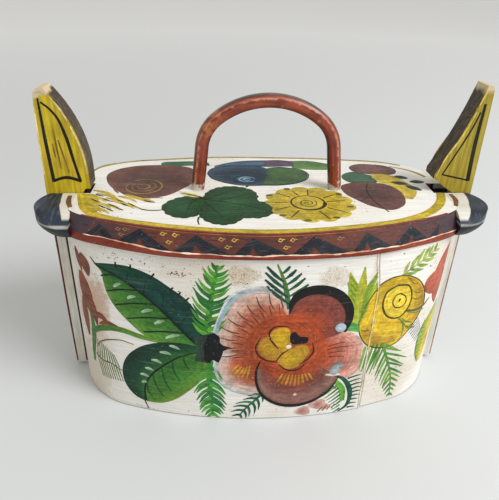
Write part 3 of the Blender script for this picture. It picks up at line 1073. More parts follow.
def paintRose(surface, name):
    # The yellow flower with its rings and twigs, and the red and yellow petals at the wall's end.
    pot = newPot(surface)
    outline = [(52.6, 69.6), (56, 82.2), (61.3, 91.4), (68, 95.8), (77.5, 96.6), (88, 92), (95, 83),
               (97, 72.7), (93.4, 62.7), (88, 54.6), (80.4, 47.6), (70, 46.8), (60.6, 51.6), (54.5, 60.6)]
    disc(pot, outline, ["#ddc034", "#d6b52a", "#cfae2a", "#caa626"], 0, (76, 72))
    loopLine(pot, outline, [0.5, 0.9, 0.6, 1.0, 0.7, 0.9, 0.5], "#4b451f", 2)
    for edge, code in (([(55, 66), (62, 66.6), (72, 65.4), (84, 63)], "#c29a24"),
                       ([(58, 58), (66, 58.4), (76, 57), (84, 55.4)], "#bf9a2c")):
        line(pot, edge, [0.8, 2.0, 2.4, 0.8], code, 1)
    fill(pot, [(80, 95.6), (88, 90.6), (94.2, 82), (96, 72), (92, 62.6)],
         [(83, 90), (87.4, 84), (89, 76), (87, 69), (83, 63)], ["#ab8226", "#bd9628", "#c6a228"], 1)
    fill(pot, [(56, 61), (62, 53), (71, 49), (80, 49.4)], [(58, 66), (65, 58), (73, 54.6), (81, 54)],
         ["#b58e28", "#c29c2a"], 1)
    ring = [(74.6, 90.7), (82.3, 88.9), (85.6, 82.2), (84.9, 73.4), (79.4, 67.3), (72, 69.4), (66.9, 78.5),
            (68.3, 87.2)]
    disc(pot, ring, ["#e6cb44", "#e2c63c", "#dcbc34"], 1, (77, 79))
    loopLine(pot, ring, [1.2, 0.9, 1.3, 1.0], "#4a4522", 3)
    inner = [(77.3, 84.8), (81.7, 81.3), (82.3, 77.7), (80.1, 74.9), (75.9, 75.2), (73.2, 79.2),
             (74.3, 83.4)]
    loopLine(pot, inner, [0.9, 0.7], "#4e4a24", 3)
    line(pot, [(77.4, 79), (78, 81)], [0.9, 1.4], "#2f3016", 4)
    line(pot, [(84.4, 71.4), (90, 69.8), (96, 70.4), (102.3, 74.6)], [0.9, 1.7, 1.7, 0.6], "#55603a", 3)
    line(pot, [(84, 70.6), (92, 67.6), (98, 68.4)], [0.6, 1.1, 0.5], "#6d7a4c", 3)
    lines(pot, ([(82, 66), (86, 62.6), (90, 61)], [(82.6, 64), (84.4, 58), (84, 52)],
                [(79.6, 66.4), (83, 63), (86.6, 58)], [(86, 60), (90, 56.4), (93.6, 57)]),
          [0.8, 1.3, 0.6], "#6a7d3a", 3)
    lines(pot, ([(86.6, 84), (91, 82), (94, 83)], [(85.8, 80), (90.6, 77.6), (94.6, 78.4)],
                [(54.4, 64.4), (57.6, 62.6), (60, 62.8)], [(82, 94), (84.6, 90.4), (88.6, 88.6)]),
          [0.4, 0.8, 0.4], "#7a6a22", 3)
    comb(pot, [(87, 56.6), (92, 50), (96.6, 44)], [(95, 63), (98.4, 57), (100.6, 51)], 8, [0.5, 0.4],
         ["#5f6a78", "#4a5560"], 2)
    red = ["#a9503a", "#b0583f", "#a04a36"]
    fill(pot, [(123, 108), (115, 105.6), (107.6, 101.4), (103, 94.4), (99.4, 86), (100.6, 78)],
         [(126, 104), (122.6, 98), (119, 90), (114.6, 82), (109.4, 77.6), (104, 76.4)], red, 0)
    fill(pot, [(101, 93), (95.6, 89.6), (94.4, 84.6), (97, 80.2), (102, 77)],
         [(108, 92), (107, 86), (107, 82), (106, 78), (104, 76.6)], red, 1)
    fill(pot, [(106, 86), (104.4, 79), (106.6, 71.6), (111, 66.6)],
         [(121, 88), (119, 80), (116.6, 73), (113, 66.8)], red[::-1], 1)
    fill(pot, [(119, 66), (111, 62), (104.6, 57), (101, 50), (100, 40), (101, 31), (105, 23.4)],
         [(121, 62), (119.6, 54), (118, 46), (116, 38), (113.6, 31), (111, 26), (108, 22.6)],
         ["#7c9a3c", "#b3a832", "#cdb22e", "#c9ae2c"], 0)
    comb(pot, [(101.4, 52), (100.6, 42), (103, 28)], [(107, 50), (106.4, 41), (107, 29)], 8, [1.2, 0.5],
         ["#4d8a3e", "#65953e"], 1)
    line(pot, [(103.8, 57), (100.4, 50), (99.6, 40), (101, 31), (105.4, 22.8)], [0.7, 1.1, 0.9],
         "#4f7a3a", 2)
    emptyPot(pot, name, "box", wallStrokes)


def paintBand(surface, name):
    # Zigzag on the sloping rim of the lid: peaks and feet in turn, each leg an even band.
    pot = newPot(surface)
    turns = [(-97, 0.30), (-88.5, 0.74), (-79.5, 0.06), (-67.2, 0.84), (-50.3, 0.06), (-38.2, 0.84),
             (-20, 0.06), (-9.6, 0.84), (9.5, 0.06), (21.2, 0.84), (42, 0.06), (49.6, 0.84), (64.5, 0.06),
             (75.4, 0.84), (86.5, 0.08), (93, 0.6)]
    navy = ["#262a30", "#20242b", "#2b2d32"]
    wide = strokeSet["bandWide"]
    for k, (a, b) in enumerate(zip(turns[:-1], turns[1:])):
        foot, peak = (a, b) if a[1] < b[1] else (b, a)
        run = 0.80 * (peak[0] - foot[0])
        inner = [(foot[0] + run, 0.15), (peak[0], (peak[1] - 0.44) * wide)]
        fill(pot, [(foot[0], 0.2), (peak[0], peak[1] * wide)], inner, navy, 1 + k % 2, bend=straightLine)
        fill(pot, inner, [(peak[0] - 0.02 * run, 0.15), (peak[0], 0.3 * wide)],
             ["#5c3028", "#6a382c"], 0, bend=straightLine)
    # Small gold rings between the peaks, mostly in threes, duller towards both ends.
    rings = ((-55, 0.76), (-48.8, 0.76), (-52, 0.42), (-25.5, 0.72), (-19, 0.72), (-22.4, 0.40),
             (4.2, 0.72), (10.4, 0.72), (7.0, 0.38), (35, 0.68), (-78.4, 0.66), (-74.6, 0.7), (-77, 0.4))
    angle = np.linspace(0.3, 2 * math.pi + 0.2, 12)
    for x, w in rings:
        code = "#c3a048" if -60 < x < 20 else "#8f6f52"
        line(pot, ovalLine(x, w * wide, 1.25, 0.95, angle), [0.4, 0.75, 0.5], code, 3)
        line(pot, [(x + 1.3, w * wide + 0.6), (x + 2.4, w * wide + 0.2)], [0.5, 0.3], code, 3)
    line(pot, [(-92, 0.93 * wide), (-60, 0.91 * wide), (-30, 0.93 * wide), (0, 0.91 * wide),
               (30, 0.93 * wide), (60, 0.94 * wide)], [0.2, 0.5, 0.3, 0.6, 0.3, 0.2], "#a3592f", 1)
    # A pale chipped line along the arris, its pieces one after another.
    chance = np.random.default_rng(11)
    at = -98.0
    while at < 101:
        size = chance.uniform(4, 13)
        drop = chance.uniform(-0.15, 0.15)
        line(pot, [(at, 0.25 + drop), (at + size / 2, 0.32 - drop), (at + size, 0.25 + drop)],
             [0.2, chance.uniform(0.7, 1.3), 0.2], str(chance.choice(["#dfb49a", "#d3946e", "#e6cbb4"])), 4)
        at += size * chance.uniform(0.62, 0.9)
    # Short thin worn marks, 40 of them near the ends and 50 in the middle.
    for k in range(90):
        x = chance.choice([-1, 1]) * chance.uniform(62, 98) if k < 40 else chance.uniform(-64, 64)
        w = chance.uniform(1.5, 10.5)
        path = [(x, w), (x + 2.5, w + 0.4), (x + chance.uniform(3, 6), w)]
        line(pot, path, [0.2, chance.uniform(0.3, 0.7), 0.2],
             str(chance.choice(["#3d3436", "#4a3735", "#33323a", "#523c38"])), 3)
    emptyPot(pot, name, "lid", lidStrokes)


def paintLid():
    # The lid's top, from left to right: plum fruit, ochre feathers, leaves, two flowers, more fruit.
    pot = newPot(lidTop)
    fill(pot, [(-64, 39), (-64, 43), (-52, 46), (-40, 46), (-33, 44)],
         [(-64, 34), (-56, 36), (-46, 38), (-38, 38), (-32, 38)], ["#2f5a3e", "#3a6848"], 0)
    disc(pot, [(-95, 24), (-93.6, 10), (-87.6, -1.6), (-79, -10), (-68, -14.6), (-56.6, -11.4), (-48, -1.6),
               (-42, 9), (-41.6, 22), (-43.6, 33), (-55, 38), (-68, 39), (-82, 36.4), (-90.6, 31)],
         ["#45302b", "#523630", "#5c3a33", "#623d35", "#6a453b"], 1, (-70, 10))
    for scale, code in ((1.0, "#8f7d34"), (0.66, "#7c6436"), (0.34, "#85693c")):
        angle = np.radians(np.arange(150, 500, 16))
        size = np.linspace(0.86, 1.0, len(angle)) * scale
        line(pot, ovalLine(-71, 2.0, 11.5 * size, 11.5 * size, angle), [0.3, 1.1, 0.9, 0.3], code, 3)
    comb(pot, [(-70, -13.6), (-78, -10), (-88, -1)], [(-58, -14.6), (-70, -15), (-84, -8)], 5,
         [0.5, 1.6, 0.5], ["#82564c", "#5c3a34"], 2)
    disc(pot, [(-103, -9), (-99, -8.4), (-95.6, -11), (-93.6, -17), (-92, -24), (-90.6, -31), (-93, -33.6),
               (-97, -28), (-100.6, -19)], ["#b8a64c", "#b3a044", "#a89638"], 1)
    feathers = [(-96.6, -4.9, -85, -12), (-93.9, -9.4, -81.5, -17.6), (-87.7, -15.9, -77.9, -22.2),
                (-81.3, -13.3, -71.8, -20.8), (-78.2, -11.2, -66.7, -20.4), (-72.4, -15.9, -61.6, -20.8),
                (-83.6, -20.1, -72.3, -28.9), (-79.9, -22.2, -70.2, -28.5), (-87.9, -24.2, -79.4, -31),
                (-99.2, -11.5, -88.5, -20.7), (-99.4, -16.5, -89.6, -24.2), (-94.3, -21.1, -84.6, -29),
                (-100.6, -19.6, -91.2, -28.8), (-99.4, -25.7, -88.6, -33.6), (-94.4, -27.7, -84.3, -35.5)]
    for x1, y1, x2, y2 in feathers:
        middle = ((x1 + x2) / 2 + 1, (y1 + y2) / 2 + 0.8)
        line(pot, [(x1 - 2.4, y1 + 1.6), middle, (x2, y2)], [1.0, 2.9, 2.2, 0.4], "#ad962a", 2,
             endCode="#c4ae4a")
    shadows = [(-92.2, -14.4, -85.4, -19.7), (-98, -15.4, -91.9, -20.7), (-87.3, -27.8, -82.8, -32.1),
               (-82.5, -26.8, -77.8, -30.8), (-80.9, -21.2, -75.2, -25.9), (-87.4, -22.2, -81.6, -27.2),
               (-76.7, -21.2, -71, -26.9), (-68.8, -17.7, -62.1, -20.8), (-96.7, -8.9, -91.8, -12.2),
               (-84, -16.4, -78.6, -20.4), (-92, -24, -87, -28.4)]
    bowedLines(pot, shadows, [0.4, 1.3, 0.4], "#2c2a1a", 3, up=-0.5)
    line(pot, [(-71, -27), (-68, -29.8), (-62.4, -31.4), (-55.6, -30.4)], [0.4, 1.0, 0.9, 0.5], "#1f2018", 3)
    for k in range(4):
        start = np.array([-50 + 1.2 * k, -5.4 - 2.3 * k])
        line(pot, [start, start + (5.6, -2.2), start + (11.6, -5.2)], [0.5, 1.5, 0.6],
             ("#d3c46a", "#5a5a3a")[k % 2], 3)
    disc(pot, scallop([(-57.6, -27), (-55, -20.6), (-50.4, -15.6), (-43, -12.4), (-36, -13.6), (-33.6, -20),
                       (-35, -30), (-39, -38), (-46, -40.4), (-53, -36.6)], 14, 0.9),
         ["#224a26", "#1c4522", "#173c1e"], 2, bend=straightLine)
    disc(pot, scallop([(-35.4, -16), (-32.6, -6), (-27, 0.2), (-20, 2.2), (-12, 0.4), (-6.4, -4.6),
                       (-4.4, -12), (-4.8, -18.6), (1.2, -22.4), (4.4, -28), (2.4, -35), (-4, -40.4),
                       (-14, -41.4), (-18, -46.4), (-24, -48.8), (-31, -46), (-36, -39), (-37.6, -28)],
                      28, 0.9),
         ["#28562a", "#1f4a24", "#183f1f", "#1b3b1e"], 1, (-18, -22), bend=straightLine)
    lines(pot, ([(-35, -16), (-27, -19), (-16, -23), (-4, -29)], [(-35, -17), (-27, -10), (-19, -4.6)],
                [(-34, -20), (-29, -30), (-24, -41)], [(-27, -19), (-18, -14), (-10, -10)],
                [(-37, -16.4), (-45, -22), (-53, -27.6)], [(-41, -19.6), (-43, -27), (-44, -34)],
                [(-39, -17.6), (-45, -16.4), (-49, -18)]), [1.2, 0.9, 0.5], "#12301f", 3)
    line(pot, [(-10, 1.4), (-8.6, 3.6), (-6.4, 4.6)], [1.0, 1.4, 0.6], "#14281e", 3)
    line(pot, [(-39.4, -14.4), (-36.4, -15.6), (-33.6, -17.6)], [1.0, 2.6, 1.0], "#17251d", 4)
    line(pot, [(-37, -39.6), (-37.4, -44), (-36.7, -48.6)], [1.0, 0.8, 0.6], "#1c3a26", 3)
    fill(pot, [(-29, 38), (-20, 44), (-8, 48), (5, 49)], [(-29, 34), (-18, 35), (-6, 36), (6, 38)],
         ["#3b5064", "#465f78", "#3c5468"], 0)
    fill(pot, [(4, 48.6), (14, 49.4), (24, 47)], [(4, 38), (14, 37), (24, 37)], ["#4a3c4c", "#54445a"], 1)
    fill(pot, [(22, 47.6), (34, 48), (48, 42)], [(22, 34), (34, 31), (47, 31)], ["#4c6a3c", "#587a40"], 0)
    disc(pot, [(-33.4, 24), (-31, 32), (-24, 36), (-10, 37.6), (2, 36), (8, 28), (9, 16), (6, 7.4),
               (-3, 4), (-13, 5), (-23, 9.4), (-30.4, 16)],
         ["#3f5868", "#2b3f50", "#1c2b3a", "#27394b", "#364d5e"], 2, (-10, 14))
    disc(pot, [(2, 5.6), (11, 5), (21.7, 8.4), (28.4, 15), (30.4, 22), (27.4, 30), (17, 34.4),
               (6, 33.6), (4.4, 20)], ["#38562f", "#466438", "#3a5833"], 3)
    loopLine(pot, [(-33.4, 24), (-31, 32), (-24, 36.4), (-10, 38), (6, 36.6), (17, 34.8), (27.6, 30.4),
                   (31, 22), (28.8, 14.6), (21.7, 8), (11, 4.6), (2, 4.4), (-13, 4.6), (-23, 9),
                   (-30.4, 15.6)],
             [0.5, 0.9, 0.6, 1.3, 0.7], "#17222e", 4)
    for scale in (1.0, 0.6, 0.28):
        angle = np.radians(np.arange(20, 330, 18))
        line(pot, ovalLine(-8.7, 13.6, 8.4 * scale, 6.6 * scale, angle), [0.4, 1.4, 1.2, 0.4],
             "#7d9db4" if scale < 0.9 else "#16283c", 4)
    # The yellow flower: a rim rippled by its petals, a ring, a spiral, rays and dark dots.
    petals = 13
    turns = np.linspace(0, 2 * math.pi, petals * 6 + 1)[:-1]
    ripple = np.abs(np.sin(turns * petals / 2)) ** 0.7
    rim = ovalLine(24.6, -22.6, 23.4 + 2.8 * ripple, 21.6 + 2.8 * ripple, turns)
    disc(pot, rim, ["#c0aa36", "#b89e28", "#ae962a", "#b7a232"], 1, (24.6, -22.6))
    angle = np.linspace(0, 2 * math.pi, 30)
    line(pot, ovalLine(23.9, -21.6, 9.6, 9.6, angle), [1.2, 0.9, 1.0, 1.6, 2.2], "#22241a", 3)
    spin = np.linspace(0, 4.2 * math.pi, 44)
    reach = 0.6 + 4.8 * spin / spin[-1]
    line(pot, ovalLine(23.6, -22, reach, reach, spin), [0.7, 0.7], "#4d4a22", 3)
    for turn, low, high in ((8, 11, 22), (34, 12, 21), (82, 11, 19), (112, 11, 18), (140, 12, 22),
                            (178, 12, 24), (206, 12, 22), (238, 12, 23), (292, 12, 23), (326, 12, 24)):
        aim = np.array([math.cos(math.radians(turn)), math.sin(math.radians(turn))])
        line(pot, [(23.9, -21.6) + aim * low, (23.9, -21.6) + aim * high], [1.0, 0.6], "#3f3d1e", 3)
    angle = np.linspace(0, 2 * math.pi, 9)[:-1]
    for x, y in ((14.2, -1.6), (2.8, -11), (7.8, -38), (20.4, -44.4), (36.4, -41), (47, -27), (43.8, -9.4)):
        disc(pot, ovalLine(x, y, 2.1, 1.3, angle), ["#5c5a24", "#55521f"], 3)
    disc(pot, [(60.3, 36), (67.5, 41.9), (76.6, 41.4), (85.3, 38.7), (90.2, 32.3), (88.0, 24.4),
               (79.2, 21.4), (70.7, 22.9), (61.1, 28.4)], ["#6c4a44", "#6f4d48", "#5d413c"], 0)
    disc(pot, [(52.4, 21.3), (60.8, 27.2), (69.2, 22.3), (75.8, 16.9), (72.7, 9.7), (63.7, 7.6),
               (56.2, 8.0), (51.9, 13.5)], ["#3f5f48", "#34563e"], 1)
    fill(pot, [(72, 24), (80, 23), (87, 18), (90, 10), (93, 2), (91, -9), (86, -17)],
         [(70, 12), (74, 8), (78, 6), (79, 0), (80, -6), (80, -12), (78.6, -15)],
         ["#b29a34", "#bda43a", "#c2ad3e"], 1)
    disc(pot, [(48.6, 4), (55, 8), (66, 9), (77, 5.6), (82, -4), (82, -15), (78, -25.6), (69, -31.6),
               (60, -27), (53, -18), (48, -8)], ["#4b302e", "#573733", "#613e37"], 2)
    line(pot, [(66, 8), (63, 0), (61.8, -10), (63, -22), (67, -34)], [0.6, 1.0, 1.1, 0.5], "#2d1c1a", 4)
    lines(pot, ([(62, -10), (69, -15), (74, -19)], [(62.4, -18), (68, -23), (71, -26)],
                [(62, -12), (57, -17), (54, -19)]), [0.7, 0.4], "#452c2a", 3)
    bowedLines(pot, [(86.0, 19.5, 93.6, 15.9), (80.8, 9.4, 90.4, 5.9), (93.2, 10.3, 102.2, 9.8),
                     (88.4, 3.8, 95.8, -3.8)], [1.2, 4.6, 5.6, 4.4, 1.2], "#24352e", 3)
    lines(pot, ([(111.4, -9.5), (111.2, -17.3), (107.8, -26.4)],
                [(-110.6, -11), (-109.6, -19), (-106.8, -27)]), [2.2, 2.9, 2.2], "#6d4b33", 2)
    # The yellow ring inside the rim, wide in front and narrow behind, and the red line outside it.
    ringTones = ["#a8942c", "#b7a22e", "#a58f2a"]
    x = np.linspace(-70, 66, 26)
    outerRing = np.stack([x, -(frontFace(x) - 0.5)], 1)
    innerRing = np.stack([x, -(frontFace(x) - 5.2)], 1)
    leftOuter = [(-107.4, -8.0), (-104.5, -19.1), (-101.2, -29), (-96, -36.4), (-90, -40.6), (-80, -44.3)]
    leftInner = [(-102.6, -8.0), (-99.9, -17), (-95.6, -27.5), (-89.5, -34.6), (-84, -37.8), (-76, -41.2)]
    rightOuter = [(75, -45.6), (82.2, -42.9), (90.4, -37.3), (98.2, -29.6), (104.1, -20.3),
                  (107.4, -11.7), (108.3, -8.0)]
    rightInner = [(72.6, -41.6), (79, -38.4), (86.6, -33.6), (93.4, -27.0), (99.0, -19.0),
                  (102.2, -11.6), (103.2, -8.0)]
    fill(pot, np.concatenate([leftOuter, outerRing, rightOuter]),
         np.concatenate([leftInner, innerRing, rightInner]), ringTones, 2)
    x = np.linspace(-99, 99, 36)
    line(pot, np.stack([x, -(frontFace(x) - 0.3)], 1), [1.2, 1.4, 1.0, 1.5, 1.3], "#7c3a2c", 3)
    lines(pot, ([(-106, 20), (-105.0, 29.7), (-100.8, 36.9), (-93.4, 42.4)],
                [(88, 37.4), (96.8, 31.8), (102.2, 26), (106.0, 18.5)]), [0.8, 1.8, 2.0, 2.0], "#93823e", 2)
    x = np.linspace(-100, 96, 30)
    fill(pot, np.stack([x, backFace(x) - 0.3], 1), np.stack([x, backFace(x) - 2.6], 1),
         ["#8a7a3c", "#97863e", "#a39250"], 2)
    emptyPot(pot, "lidFlowers", "lid", lidStrokes)


# Values for the posts; the heels stop a hair short of the posts' faces.
postSet = {
    "halfDepth": 6.75, "heelHalf": 6.72, "finFoot": (0.1266, 0.1270),
    "left": {"deep": "#a8901a", "bright": "#d2bb28", "tip": (0.1835, 0.1850)},
    "right": {"deep": "#8a7a24", "bright": "#b3a038", "tip": (0.1865, 0.1885)},
}


def postFace(x, z, h):
    # The front broad face, h before it.
    return np.stack([x, -postSet["halfDepth"] - h + 0 * x, z + 0 * x], axis=-1)


def postRear(x, z, h):
    # The same point with its depth turned about.
    return postFace(x, z, h) * (1, -1, 1)


def paintPosts(surface, name):
    # Lines on both fins and stems; the rear ones are mirrored, so their faces are turned outward.
    mirrored = surface is postRear
    left = newPot(surface)
    ink = "#1c1a14"
    line(left, [(-120.9, 182.4), (-120.5, 160), (-119.6, 135.6)], [1.0, 1.9, 1.9], ink, 1)
    line(left, [(-119.8, 180.4), (-116.4, 177.6), (-113.2, 173.6), (-109.4, 162.4), (-107.1, 148.8),
                (-104.9, 136.6)], [1.0, 1.3, 1.7, 1.8, 1.5, 1.7], ink, 1)
    line(left, [(-120.2, 136.2), (-112.1, 138.3), (-104.2, 136.1)], [1.4, 1.9, 1.8], ink, 1)
    lines(left, ([(-115.4, 166), (-115, 154), (-114.4, 143.5)], [(-113.8, 160), (-112, 150), (-110.4, 141)],
                 [(-117, 158), (-116.6, 150)]), [0.6, 1.0, 0.5], "#7a5a24", 1)
    line(left, [(-124.3, 125), (-124.2, 90), (-124.4, 50), (-124.2, 4)], [1.3, 1.0, 1.2, 0.9], "#5f2a1a", 1)
    line(left, [(-117.9, 115), (-118.0, 80), (-117.8, 40), (-118.0, 4)], [1.2, 1.0, 1.3, 1.0], "#33231a", 1)
    lines(left, ([(-100.6, 140), (-101.2, 149), (-103.2, 159), (-106.2, 167.6)],
                 [(-107.4, 170.6), (-110.4, 177), (-114.4, 182.2)],
                 [(-123.4, 180), (-124.0, 160), (-124.3, 140)]), [0.4, 1.0, 0.5], "#d6c58c", 2)
    line(left, [(-121.5, 185.2), (-119, 185.8), (-116.6, 184)], [0.6, 1.8, 0.6], "#cdbb92", 2)
    emptyPot(left, "leftPost" + name, "left_post", postStrokes, mirrored)
    right = newPot(surface)
    line(right, [(105.2, 140.6), (110, 151.6), (114.4, 162.0), (117.6, 170.6), (119.4, 177)],
         [0.8, 0.9, 1.0, 0.8], ink, 1)
    line(right, [(104.8, 140.4), (112, 138.8), (120.6, 137.0)], [0.8, 1.0, 0.9], ink, 1)
    line(right, [(121.3, 136.4), (120.5, 157.9), (121.0, 181.6)], [2.3, 2.2, 1.4], ink, 2)
    line(right, [(124.3, 125), (124.4, 90), (124.2, 50), (124.4, 4)], [0.8, 0.6, 0.8, 0.6], "#96604c", 1)
    line(right, [(118.0, 115), (117.9, 80), (118.1, 40), (117.9, 4)], [0.9, 0.7, 0.9, 0.8], "#a08a78", 1)
    lines(right, ([(101.6, 139), (104.4, 148.4), (111.8, 163), (117.2, 177)],
                  [(118, 181), (119.6, 186), (120.6, 190)]), [0.5, 1.1, 0.5], "#cdb35a", 2)
    emptyPot(right, "rightPost" + name, "right_post", postStrokes, mirrored)


def paintLap():
    # The outer layer's end: a pale worn line on top of its edge and a brown one in the step.
    pot = newPot(wallFace)
    for low, high, code in ((0.8, 49, "#dcd3c2"), (48, 93, "#dcc468"), (92, 114.6, "#e0d4c8")):
        z = np.linspace(low, high, 24)
        line(pot, np.stack([lapEdgeAt(z) - 0.75, z], 1), [1.0, 1.5, 1.1, 1.4, 1.0], code, 11)
        line(pot, np.stack([lapEdgeAt(z) + 0.35, z], 1), [0.5, 0.7, 0.4, 0.6], "#b09c80", 10)
    emptyPot(pot, "lapLine", "box", wallStrokes)


def paintSpecks():
    # Small dark chips, thick under the lid's edge on the left.
    pot = newPot(wallFace)
    chance = np.random.default_rng(5)
    angle = np.linspace(0, 2 * math.pi, 7)[:-1]
    small, large = (0.12, 0.34), (0.3, 0.5)
    groups = (((-49, 103.8), (4.5, 0.7), 16, large), ((-84, 109), (5, 1.6), 14, small),
              ((-62, 106), (20, 3.5), 30, small), ((-73, 1.8), (4, 0.9), 8, small),
              ((-45, 95), (5, 4), 8, small), ((0, 100), (60, 7), 20, small))
    for centre, spread, count, sizes in groups:
        for k in range(count):
            s, z = chance.normal(centre, spread)
            z = float(np.clip(z, 1.2, 112))
            size = chance.uniform(*sizes)
            rim = ovalLine(s, z, size * chance.uniform(1.0, 2.0), size, angle)
            code = str(chance.choice(["#6a4c36", "#4a3626", "#8c6c50"]))
            disc(pot, rim, [code, code], 0, bend=straightLine)
    emptyPot(pot, "wallSpecks", "box", wallStrokes)


paintSpecks()
for surface, ending in ((wallFace, ""), (wallRear, "Rear")):
    paintLeaves(surface, "wallLeaves" + ending)
    paintSprigs(surface, "wallSprigs" + ending)
    paintBloom(surface, "wallBloom" + ending)
    paintRose(surface, "wallRose" + ending)
paintLap()
print("the wall is painted")
paintBand(bevelPoint, "bandZigzag")
paintBand(rearBevelPoint, "bandZigzagRear")
paintLid()
paintPosts(postFace, "Lines")
paintPosts(postRear, "LinesRear")
print("the lid and the posts are painted")


def postHeel(name, body, side, low, high):
    # The fin's lower side: a block between two edges (x, z), as deep as the post less a hair.
    low, high = np.array(low, float), np.array(high, float)

    def shape(f, v, w):
        step = f * (len(low) - 1)
        ends = [np.stack([np.interp(step, np.arange(len(low)), edge[:, i]) for i in (0, 1)], -1)
                for edge in (low, high)]
        flat = ends[0] * (1 - w)[..., None] + ends[1] * w[..., None]
        return np.stack([side * flat[..., 0], postSet["heelHalf"] * (2 * v - 1), flat[..., 1]], -1)

    points, faces, _ = boxSides(shape, [np.linspace(0, 1, 4 * len(low) - 3), np.linspace(0, 1, 3),
                                        np.linspace(0, 1, 3)])
    makeMesh(name, points, faces, [postPaints[body]], body)


def postPaint(name, side):
    # Yellow above the lid on the broad faces, dark on the inner curve, off-white on the stem below.
    n = Nodes(name)
    place = n.objectPlace()
    parts = n.add("ShaderNodeSeparateXYZ")
    n.join(place, parts.inputs["Vector"])
    facing = n.add("ShaderNodeSeparateXYZ")
    n.join(n.add("ShaderNodeNewGeometry").outputs["Normal"], facing.inputs["Vector"])
    streak = n.noise(place, 1.0, 4.0, (700, 700, 40))
    cloud = n.noise(place, 60.0, 3.0)
    deep, bright, tip = (postSet[side][k] for k in ("deep", "bright", "tip"))
    yellow = n.mix(n.ramp(streak, 0.35, 0.68), deep, bright)
    yellow = n.mix(n.ramp(cloud, 0.5, 0.72, 0.0, 0.5), yellow, "#8f7a1c")
    dark = n.mix(n.ramp(streak, 0.4, 0.66), "#2c2319", "#574a34")
    dark = n.mix(n.ramp(n.noise(place, 160.0, 4.0), 0.50, 0.72, 0.0, 0.3), dark, "#7a6438")
    sideways = n.math("ABSOLUTE", facing.outputs["X"], 0)
    sideways = n.math("MAXIMUM", sideways, n.math("ABSOLUTE", facing.outputs["Z"], 0))
    fin = n.mix(n.ramp(sideways, 0.3, 0.6), yellow, dark)
    stem = n.mix(n.ramp(streak, 0.3, 0.7), "#bcbfb8", "#e2ddcf")
    stem = n.mix(n.ramp(cloud, 0.5, 0.75, 0.0, 0.5), stem, "#b9a688")
    base = n.mix(n.ramp(parts.outputs["Z"], *postSet["finFoot"]), stem, fin)
    tipTone = n.math("ADD", parts.outputs["Z"], n.ramp(cloud, 0.3, 0.7, -0.003, 0.003))
    base = n.mix(n.ramp(tipTone, *tip), base, "#c9b892")
    spot = n.noise(place, 640.0, 3.0)
    chipped = n.math("MULTIPLY", n.ramp(spot, 0.66, 0.71), n.ramp(cloud, 0.45, 0.65, 0.0, 0.5))
    base = n.mix(chipped, base, "#e0d2aa")
    n.join(base, n.shader.inputs["Base Color"])
    n.shader.inputs["Roughness"].default_value = 0.46
    n.shader.inputs["Specular IOR Level"].default_value = 0.25
    n.bump(streak, 0.00025, 0.5)
    return n.material


# Values for the handle; the lit shoulder and the pale foot are places in metres.
handleSet = {
    "middle": 2.2, "lean": 6.5, "half": 38.2, "spring": 152.0, "rise": 29.0, "corner": 24.0, "low": 107.6,
    "thick": 3.9, "wide": 4.2, "roundness": 2.7, "shoulderX": (-0.020, -0.030),
    "shoulderZ": (0.156, 0.164), "foot": (0.1335, 0.1310),
}


def handlePaint(name):
    # Brick red in long streaks, dark grey-brown outside, nearly black inside, worn pale along a ridge.
    n = Nodes(name)
    place = n.objectPlace()
    parts = n.add("ShaderNodeSeparateXYZ")
    n.join(place, parts.inputs["Vector"])
    along = n.add("ShaderNodeUVMap", uv_map="brush").outputs["UV"]
    turn = n.add("ShaderNodeSeparateXYZ")
    n.join(along, turn.inputs["Vector"])
    # 1 on the outer face, 0 on the inner, one half on both broad sides.
    out = n.math("MULTIPLY", n.math("ABSOLUTE", n.math("ADD", turn.outputs["Y"], -0.5), 0), 2.0)
    cloud = n.noise(place, 90.0, 4.0)
    worn = n.noise(place, 260.0, 3.0)
    streak = n.noise(along, 1.0, 3.0, (9, 26, 1))
    red = n.mix(n.ramp(streak, 0.36, 0.62), "#5e2014", "#8f3c26")
    red = n.mix(n.ramp(cloud, 0.48, 0.70, 0.0, 0.5), red, "#a04c30")
    outer = n.mix(n.ramp(cloud, 0.40, 0.62), "#42342e", "#6a5346")
    out = n.math("ADD", out, n.ramp(worn, 0.3, 0.7, -0.05, 0.05))
    base = n.mix(n.ramp(out, 0.74, 0.84), red, outer)
    base = n.mix(n.ramp(out, 0.30, 0.16), base, "#34120e")
    ridge = n.ramp(n.math("ABSOLUTE", n.math("ADD", out, -0.64), 0), 0.07, 0.02)
    base = n.mix(n.math("MULTIPLY", ridge, n.ramp(worn, 0.40, 0.60, 0.25, 0.9)), base, "#c2886c")
    base = n.mix(n.ramp(worn, 0.64, 0.70, 0.0, 0.5), base, "#b87454")
    shoulder = n.math("MULTIPLY", n.ramp(parts.outputs["X"], *handleSet["shoulderX"]),
                      n.ramp(parts.outputs["Z"], *handleSet["shoulderZ"]))
    base = n.mix(n.math("MULTIPLY", shoulder, n.ramp(worn, 0.42, 0.56, 0.0, 0.7)), base, "#b06c3c")
    foot = n.math("ADD", parts.outputs["Z"], n.ramp(worn, 0.35, 0.65, -0.0035, 0.0035))
    base = n.mix(n.ramp(foot, *handleSet["foot"]), base, "#bfb5a8")
    n.join(base, n.shader.inputs["Base Color"])
    n.join(n.ramp(cloud, 0.3, 0.7, 0.22, 0.40), n.shader.inputs["Roughness"])
    n.shader.inputs["Specular IOR Level"].default_value = 0.5
    n.bump(streak, 0.0003, 0.45)
    return n.material


